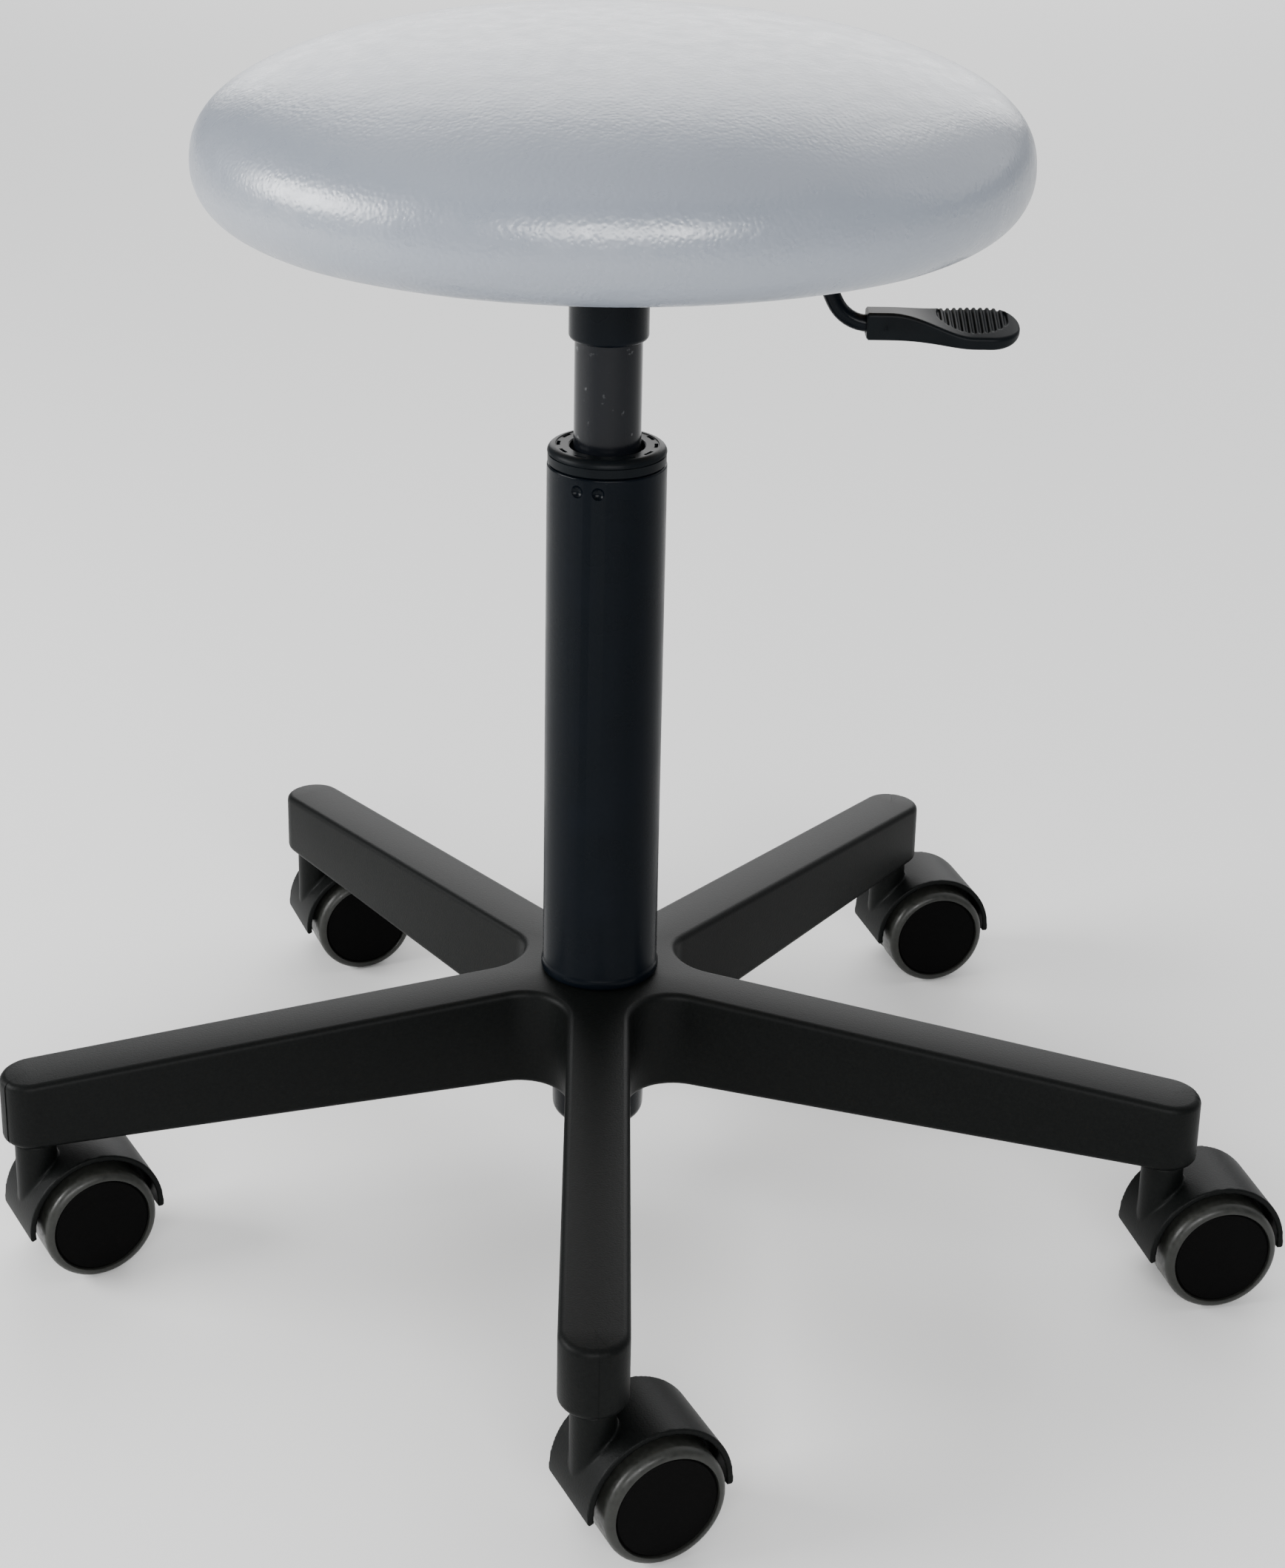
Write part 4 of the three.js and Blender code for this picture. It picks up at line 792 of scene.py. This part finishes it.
# %% Guide bush
bush_low, bush_high = span("guide_bush")
head, top = rim + 0.3, bush_high.z
bush = turned("guide_bush_moulded", [
    (14.4, bush_low.z), (21.8, bush_low.z), (21.8, head), (24.3, head), (24.7, head + 0.4),
    (24.7, head + 3.9), (24.2, head + 4.1), (24.2, head + 4.5), (24.7, head + 4.7),
    *arc((21.8, top - 3), 3.1, 5, 82, 7),
    (21.5, top + 0.05), (21.3, top - 0.25), (16.2, top - 0.35), (15.7, top - 0.8), (15.7, top - 3.5),
    (14.4, top - 3.5), (14.4, bush_low.z),
], 128)
SLOTS, SLOT_TURN, FIRST_SLOT, SLOT_DEPTH = 12, 16, math.radians(5), 1.8
slot_ring = [(19.5, 0), (21, 0), (21, 3), (19.5, 3), (19.5, 0)]
slots = spun("slots", [(r, 0, top - SLOT_DEPTH + z) for r, z in slot_ring], turn=SLOT_TURN, steps=8)
copied_round(SLOTS)
carved(bush, moved(slots, Matrix.Rotation(FIRST_SLOT, 4, "Z")))
moved(bush, AXIS)
shown(bush, "base", "black_plastic", plastic, "guide_bush")

# %% [markdown]
# ## Gas spring tube and taper sleeve
# The tube rises out of the bush with the seat. Its top is tapered and wedged in a short steel sleeve, welded
# in the seat pan. Both are turned.

# %% Tube and sleeve
tube_low, tube_high = span("pressure_tube")
sleeve_low, sleeve_high = span("taper_sleeve")
taper_start = sleeve_low.z - 3
TUBE_RADIUS, TUBE_INSIDE, SEAL_BORE, TUBE_LID = 14, 12, 9.5, 2.6
tube = turned("spring_tube", [
    (SEAL_BORE, tube_low.z), (TUBE_RADIUS - 1, tube_low.z), (TUBE_RADIUS, tube_low.z + 1),
    (TUBE_RADIUS, taper_start), (TUBE_RADIUS - 0.6, tube_high.z), (5, tube_high.z),
    (5, tube_high.z - TUBE_LID), (TUBE_INSIDE - 0.6, tube_high.z - TUBE_LID), (TUBE_INSIDE, taper_start),
    (TUBE_INSIDE, tube_low.z + 2), (SEAL_BORE, tube_low.z + 2), (SEAL_BORE, tube_low.z),
])
moved(tube, AXIS)
shown(tube, "seat", "black_tube", black_tube, "pressure_tube")
sleeve = turned("taper_sleeve_coated", [
    (14.3, sleeve_low.z), *arc((14.3, sleeve_low.z + 2.2), 2.2, -90, 0, 8), (16.5, sleeve_high.z),
    (13.7, sleeve_high.z), (14.3, sleeve_low.z),
])
moved(sleeve, AXIS)
shown(sleeve, "seat", "black_paint", coat, "taper_sleeve")

# %% [markdown]
# ## Seat pan
# The pan is pressed from 2.5 mm sheet: a shallow round box with a wide flange that the board is bolted to. A
# press leaves a bend radius at every corner, so the profile has one, and the lever's slot is cut afterwards.

# %% Seat pan
pan_low, pan_high = span("seat_pan")
SHEET = 2.5
pan = turned("seat_pan_pressed", [
    (16.8, pan_low.z), *arc((53, pan_low.z + 4), 4, -90, 0, 6),
    *arc((58.2, pan_high.z - 3.7), 1.2, 180, 90, 4),
    (76.4, pan_high.z - SHEET), (77, pan_high.z - SHEET + 0.6), (77, pan_high.z - 0.6), (76.4, pan_high.z),
    (54.5, pan_high.z), (54.5, pan_low.z + SHEET + 1.5), (53, pan_low.z + SHEET), (16.8, pan_low.z + SHEET),
    (16.8, pan_low.z),
])
EYE_RADIUS = 5
lever_height = span("lever_rod")[1].z - EYE_RADIUS
opening = rounded_slab("opening", (12, 12, 15), 1)
carved(pan, moved(opening, Matrix.Translation(Vector((56, 0, lever_height + 3)) * MM)))
moved(pan, AXIS)
shown(pan, "seat", "black_paint", coat, "seat_pan")

# %% [markdown]
# ## Lever
# The release lever is a 7 mm rod with a double bend. A curve with a bevel would do, but a circle extruded
# along the bends is as short and stays a mesh. An eye near its inner end turns on the pivot pin.

# %% Lever rod
ROD_RADIUS = 3.5
PIVOT = 47
BEND, BEND_ANGLE = 16, 65
BEND_START, BEND_END = 67.9, 105.4
ROD_DROP = 36.6
run_height = lever_height - ROD_DROP
route = [(-6, lever_height, 0), (20, lever_height, 0), (PIVOT, lever_height, 0)]
for i in range(9):
    a = math.radians(BEND_ANGLE * i / 8)
    route.append((BEND_START + BEND * math.sin(a), lever_height - BEND * (1 - math.cos(a)), a))
for i in range(8, -1, -1):
    a = math.radians(BEND_ANGLE * i / 8)
    route.append((BEND_END - BEND * math.sin(a), run_height + BEND * (1 - math.cos(a)), a))
route.append((117.6, run_height, 0))


def rod_circle(x, z, slope):
    """A circle round the rod's middle line where it slopes down."""
    points = []
    for i in range(25):
        a = 2 * math.pi * i / 24
        up = ROD_RADIUS * math.sin(a)
        points.append((x + up * math.sin(slope), ROD_RADIUS * math.cos(a), z + up * math.cos(slope)))
    return points


rod = swept("lever_rod_bent", [rod_circle(*station) for station in route])
EYE_BORE, EYE_HALF = 2.4, 4.5
eye = spun("eye", [
    (EYE_BORE, -EYE_HALF, 0), (EYE_RADIUS, -EYE_HALF, 0), (EYE_RADIUS, EYE_HALF, 0), (EYE_BORE, EYE_HALF, 0),
    (EYE_BORE, -EYE_HALF, 0),
], axis=(0, 1, 0), steps=32)
moved(eye, Matrix.Translation(Vector((PIVOT, 0, lever_height)) * MM))
joined(rod, eye)
moved(rod, AXIS)
shown(rod, "lever", "black_tube", coat, "lever_rod")

# %% [markdown]
# The grip is moulded over the rod's end. It starts as a box socket, and swells and flattens into a paddle
# that leans towards the sitter's hand, with a round end. Its section changes all the way, so one is swept
# along and reshaped. Fine grooves across the paddle stop the finger slipping. They could be cut afterwards,
# but they are part of the sweep: a wave along the grip, kept within an oval, lowers the top of each section.

# %% Lever grip
GRIP_START, GRIP_LENGTH = 103.9, 62.2
GRIP_TILT = math.radians(17)
GRIP_CORNER = 1.5
END_WIDE, END_HIGH = 6.2, 5.7
PADDLE_WIDE, PADDLE_HIGH, PADDLE_DROP = 12.6, 2.8, 1.6
GROOVE_PITCH, GROOVE_DEPTH = 2.7, 1.0
FIELD_MIDDLE, FIELD_HALF = (147, 4.2), (15.2, 12.3)
ROD_BORE, ROD_BORE_DEPTH = 3.8, 14
TOP_CORNERS, SIDE_CORNERS, BEND_CORNERS = 36, 5, 5


def smooth_step(value, low, high):
    share = min(1, max(0, (value - low) / (high - low)))
    return share * share * (3 - 2 * share)


def rounded_outline(wide, high, corner):
    """A rounded rectangle of half sizes, with a fixed count of corners on each side, from its lower right."""
    flat, upright = wide - corner, high - corner
    points = []
    for start, middle, (x0, y0), (x1, y1), count in (
        (-90, (flat, -upright), (wide, -upright), (wide, upright), SIDE_CORNERS),
        (0, (flat, upright), (flat, high), (-flat, high), TOP_CORNERS),
        (90, (-flat, upright), (-wide, upright), (-wide, -upright), SIDE_CORNERS),
        (180, (-flat, -upright), (-flat, -high), (flat, -high), TOP_CORNERS),
    ):
        points += arc(middle, corner, start, start + 90, BEND_CORNERS)
        points += [(x0 + (x1 - x0) * i / count, y0 + (y1 - y0) * i / count) for i in range(1, count)]
    return points + points[:1]


def groove(x, across):
    """How deep the finger grooves are at a place on the paddle."""
    out = math.hypot((x - FIELD_MIDDLE[0]) / FIELD_HALF[0], (across - FIELD_MIDDLE[1]) / FIELD_HALF[1])
    wave = math.cos(2 * math.pi * (x - FIELD_MIDDLE[0]) / GROOVE_PITCH)
    return GROOVE_DEPTH * smooth_step(wave, -0.35, 0.45) * smooth_step(1 - out, 0, 0.07)


def grip_section(x, ease=0):
    """The grip's outline at a place along it, drawn in by an ease at the ends."""
    share = (x - GRIP_START) / GRIP_LENGTH
    swell = smooth_step(share, 0.15, 0.7)
    into_end = max(0, (share - 0.8) / 0.2)
    end = math.sqrt(max(0.0004, 1 - into_end ** 2))
    wide = (END_WIDE + (PADDLE_WIDE - END_WIDE) * swell) * end - ease
    high = (END_HIGH + (PADDLE_HIGH - END_HIGH) * swell) * math.sqrt(end) - ease
    tilt = GRIP_TILT * swell
    points = []
    for across, up in rounded_outline(wide, high, min(GRIP_CORNER, 0.8 * high, 0.8 * wide)):
        if up > 0.3 * high:
            up -= groove(x, across)
        y = across * math.cos(tilt) - up * math.sin(tilt)
        z = run_height - PADDLE_DROP * swell + across * math.sin(tilt) + up * math.cos(tilt)
        points.append((x, y, z))
    return points


def bore_ring(x):
    """The rod's hole in the grip, with as many corners as the outline."""
    points = []
    for across, up in rounded_outline(END_WIDE, END_HIGH, GRIP_CORNER):
        out = ROD_BORE / math.hypot(across, up)
        points.append((x, across * out, run_height + up * out))
    return points


plain_end, field_start = FIELD_MIDDLE[0] - FIELD_HALF[0] - 0.5, FIELD_MIDDLE[0] - FIELD_HALF[0]
stations = [GRIP_START + 0.7 + (plain_end - GRIP_START - 0.7) * i / 14 for i in range(15)]
stations += [field_start + GROOVE_PITCH / 8 * i for i in range(93)]
stations += [GRIP_START + GRIP_LENGTH - 3.2 * (1 - math.sin(math.pi / 2 * i / 10)) for i in range(1, 11)]
grip = swept("lever_grip_moulded", [
    bore_ring(GRIP_START + ROD_BORE_DEPTH), bore_ring(GRIP_START), grip_section(GRIP_START, 0.7),
    *[grip_section(x) for x in stations],
])
NUB_FOOT = (-5.9, [(110.2, -1.4), (112.6, -1.4), (111.9, 1.3), (110.2, -1.4)])
NUB_TIP = (-6.8, [(110.9, -1.0), (112.1, -1.0), (111.7, 0.5), (110.9, -1.0)])
nub = swept("nub", [[(x, side, run_height + z) for x, z in corners] for side, corners in (NUB_FOOT, NUB_TIP)])
joined(grip, nub)
moved(grip, AXIS)
shown(grip, "lever", "black_plastic", plastic, "lever_grip")

# %% [markdown]
# ## Castor hoods
# Each castor is a nylon moulding: a hood over both wheels, a web between them that holds the axle, and a neck
# for the swivelling stem. Hood and web are sections spun round the axle by half a turn, and the neck is
# turned. All are closed shells that overlap, joined in one mesh. A fine voxel remesh makes one body of them,
# and a little smoothing melts the seams into the small radii that a mould has.

# %% Castor hood
axle_low, axle_high = span("axle_front")
AXLE_HEIGHT = (axle_low.z + axle_high.z) / 2
TRAIL = 20
HOOD_RADIUS, HOOD_INSIDE, HOOD_HALF = 29.8, 27.3, 17.5
HOOD_REAR, HOOD_TURN = math.radians(-4), 189
NECK_RADIUS = 8.75
neck_top = span("housing_front")[1].z - AXLE_HEIGHT


def on_axle(name, section, turn=HOOD_TURN, start=HOOD_REAR, steps=64):
    """A section of [radius, side] points, spun round the axle from the hood's rear end."""
    points = [(r * math.cos(start), side, r * math.sin(start)) for r, side in section]
    return spun(name, points, axis=(0, 1, 0), turn=turn, steps=steps)


hood = on_axle("castor_hood", [
    (HOOD_INSIDE, -HOOD_HALF), (HOOD_RADIUS, -HOOD_HALF), (HOOD_RADIUS, HOOD_HALF), (HOOD_INSIDE, HOOD_HALF),
    (HOOD_INSIDE, -HOOD_HALF),
])
WEB_HALF, WEB_RADIUS, BOSS_AT_AXLE = 4, 28.5, 6.9
web = on_axle("web", [(0, -WEB_HALF), (WEB_RADIUS, -WEB_HALF), (WEB_RADIUS, WEB_HALF), (0, WEB_HALF)])
boss = on_axle("boss", [
    (0, -WEB_HALF), (BOSS_AT_AXLE, -WEB_HALF), (BOSS_AT_AXLE, WEB_HALF), (0, WEB_HALF),
], turn=360, start=0, steps=32)
neck = turned("neck", [
    (0, 0.5), (NECK_RADIUS, 0.5), (NECK_RADIUS, neck_top - 0.5), (NECK_RADIUS - 0.5, neck_top), (0, neck_top),
], 48)
moved(neck, Matrix.Translation((-TRAIL * MM, 0, 0)))
for side in (-1, 1):
    near, far = WEB_HALF * side, 40 * side
    room = on_axle("room", [(0, near), (HOOD_INSIDE, near), (HOOD_INSIDE, far), (0, far)], 360, 0)
    carved(neck, room, solver="FAST")
joined(hood, web, boss, neck)
VOXEL = 0.62
applied(hood, "REMESH", mode="VOXEL", voxel_size=VOXEL * MM)
applied(hood, "SMOOTH", factor=0.5, iterations=2)
bpy.ops.object.shade_smooth()
print("hood", len(hood.data.polygons), "faces")

# %% [markdown]
# ## Castor wheels
# A wheel has a nylon core, a tread bonded round it with a full rounded shoulder, and a snap-in cap. The cap
# sits just below the tread's lip with a dark joint round it. All of it is one turned profile. The faces
# within the cap's radius get its etched nylon and those outside it the polyurethane.

# %% Castor wheel
WHEEL_RADIUS = AXLE_HEIGHT
CAP_RADIUS = 20.6
wheel = spun("castor_wheel", [(r, side, 0) for r, side in [
    (0, 17.3), (3.4, 17.3), (3.4, 5), (WHEEL_RADIUS - 1.2, 5), *arc((WHEEL_RADIUS - 1, 6), 1, -90, 0, 4)[1:],
    *arc((WHEEL_RADIUS - 3.4, 19.8), 3.4, 0, 90, 9), (CAP_RADIUS + 0.5, 22.9), (CAP_RADIUS + 0.45, 21.6),
    (CAP_RADIUS, 21.6), (CAP_RADIUS, 22.1), (CAP_RADIUS - 0.5, 22.5), (10, 22.9), (0, 23),
]], axis=(0, 1, 0), steps=72)
wheel.data.materials.append(tread)
wheel.data.materials.append(cap_nylon)
for face in wheel.data.polygons:
    reach = math.hypot(face.center.x, face.center.z) / MM
    face.material_index = 1 if reach < CAP_RADIUS + 0.4 else 0
print("wheel radius", round(WHEEL_RADIUS, 2), "mm")

# %% [markdown]
# The hood and the wheel are copied to each of the five castors. Where a castor stands and which way it trails
# is read from its stem and its axle.

# %% Five castors
for which in CASTORS:
    stem_low, stem_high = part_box(f"stem_{which}")
    axle_low, axle_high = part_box(f"axle_{which}")
    trail = ((axle_low + axle_high) - (stem_low + stem_high)).xy
    middle = (axle_low + axle_high) / 2
    here = Matrix.Translation(middle) @ Matrix.Rotation(math.atan2(trail.y, trail.x), 4, "Z")
    made = moved(twin(hood, f"castor_hood_{which}"), here)
    shown(made, f"castor_{which}", "nylon", nylon, f"housing_{which}")
    for side, turn in (("a", math.pi), ("b", 0)):
        made = moved(twin(wheel, f"castor_wheel_{which}_{side}"), here @ Matrix.Rotation(turn, 4, "Z"))
        shown(made, f"wheel_{which}_{side}", "wheel", tread, f"wheel_{which}_{side}")
bpy.data.objects.remove(hood)
bpy.data.objects.remove(wheel)

# %% [markdown]
# ## Seat
# The seat is a round foam pad on a board, with leathercloth drawn over it and stapled underneath. It has a
# broad flat crown that falls away faster and faster to a full, round side. A sphere's poles would pinch, so a
# finely divided cube is rounded instead, slightly too small. A cloth simulation with pressure inside then
# swells it as foam fills its cover, while its underside is held to the board. Cloth dents at the cube's eight
# corners, so each point's movement is averaged with its neighbours' again and again before it is applied.

# %% Seat cushion
cover_low, cover_high = span("seat_cover")
SEAT_RADIUS = (cover_high.x - cover_low.x) / 2
SEAT_BOTTOM, SEAT_TOP = cover_low.z, cover_high.z
SEAT_WIDEST = SEAT_BOTTOM + 20.2
BOARD_RADIUS = 150
CROWN_POWER = 2.45
SWELL = 2.4
SHOULDER_END = math.radians(128)


def seat_outline(tilt, inset):
    """Radius and height of the cushion's skin at an angle from its top, drawn in by an inset."""
    if tilt <= math.pi / 2:
        radius = (SEAT_RADIUS - inset) * max(0, math.sin(tilt)) ** (2 / CROWN_POWER)
        height = (SEAT_TOP - SEAT_WIDEST - inset) * max(0, math.cos(tilt)) ** (2 / CROWN_POWER)
        return radius, SEAT_WIDEST + height
    if tilt <= SHOULDER_END:
        under = (tilt - math.pi / 2) / (SHOULDER_END - math.pi / 2) * math.pi / 2
        reach = SEAT_RADIUS - inset - BOARD_RADIUS
        radius = BOARD_RADIUS + reach * math.cos(under)
        return radius, SEAT_WIDEST - (SEAT_WIDEST - SEAT_BOTTOM) * math.sin(under)
    return BOARD_RADIUS * (math.pi - tilt) / (math.pi - SHOULDER_END), SEAT_BOTTOM


pick()
bpy.ops.mesh.primitive_cube_add(size=2)
cushion = bpy.context.object
cushion.name = cushion.data.name = "seat_cushion"
bpy.ops.object.mode_set(mode="EDIT")
bpy.ops.mesh.subdivide(number_cuts=47)
bpy.ops.object.mode_set(mode="OBJECT")
for corner in cushion.data.vertices:
    way = corner.co.normalized()
    tilt, turn = math.acos(max(-1, min(1, way.z))), math.atan2(way.y, way.x)
    radius, height = seat_outline(tilt, SWELL)
    corner.co = Vector((radius * math.cos(turn), radius * math.sin(turn), height)) * MM
held = cushion.vertex_groups.new(name="held")
under = [corner.index for corner in cushion.data.vertices if corner.co.z < (SEAT_BOTTOM + 1) * MM]
held.add(under, 1.0, "REPLACE")
moved(cushion, AXIS)

PRESSURE, FRAMES, TRAVEL, EVEN_OUT = 4, 20, 3.0, 120
before = [corner.co.copy() for corner in cushion.data.vertices]
cloth = cushion.modifiers.new("swell", "CLOTH")
cloth.settings.use_pressure = True
cloth.settings.uniform_pressure_force = PRESSURE
cloth.settings.effector_weights.gravity = 0
cloth.settings.vertex_group_mass = held.name
for number in range(1, FRAMES + 1):
    bpy.context.scene.frame_set(number)
pick(cushion)
bpy.ops.object.modifier_apply(modifier=cloth.name)
shifts = numpy.array([corner.co - start for corner, start in zip(cushion.data.vertices, before)])
edges = numpy.array([edge.vertices[:] for edge in cushion.data.edges])
neighbours = numpy.bincount(edges.ravel(), minlength=len(shifts))[:, None]
for _ in range(EVEN_OUT):
    total = numpy.zeros_like(shifts)
    numpy.add.at(total, edges[:, 0], shifts[edges[:, 1]])
    numpy.add.at(total, edges[:, 1], shifts[edges[:, 0]])
    shifts = total / neighbours
reach = numpy.linalg.norm(shifts, axis=1)[:, None]
shifts *= numpy.minimum(1, TRAVEL * MM / numpy.maximum(reach, MERGE))
for corner, start, shift in zip(cushion.data.vertices, before, shifts):
    corner.co = start + Vector(shift)
print("swelled by up to", round(float(reach.max()) / MM, 2), "mm")
bpy.context.scene.frame_set(1)
applied(cushion, "SMOOTH", factor=0.5, iterations=4)
applied(cushion, "SUBSURF", levels=1, render_levels=1)
bpy.ops.object.shade_smooth()

# %% [markdown]
# The board sits in a recess in the foam, and the cover turns in under its edge. Both recesses are cut out of
# the closed cushion, which then needs no separate shell.

# %% Recess for the board
TURN_IN = 14
board_low, board_high = span("seat_board")
for radius, low, high in (
    (BOARD_RADIUS - TURN_IN, SEAT_BOTTOM - 5, board_low.z + 1),
    (BOARD_RADIUS + 0.2, board_low.z - 0.2, board_high.z + 1.7),
):
    recess = turned("recess", [(0, low), (radius, low), (radius, high), (0, high)], 96)
    carved(cushion, moved(recess, AXIS))
pick(cushion)
bpy.ops.object.shade_smooth_by_angle(angle=math.radians(50))
shown(cushion, "seat", "vinyl", vinyl, "seat_cover", "seat_foam")

# %% [markdown]
# ## Size
# The finished stool's box is set against the measured one, and how far it reaches past it on each side is
# printed.

# %% Size
model_low, model_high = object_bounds()
growth = [*(frame_low - model_low), *(model_high - frame_high)]
print("growth in mm", [round(v / MM, 2) for v in growth])
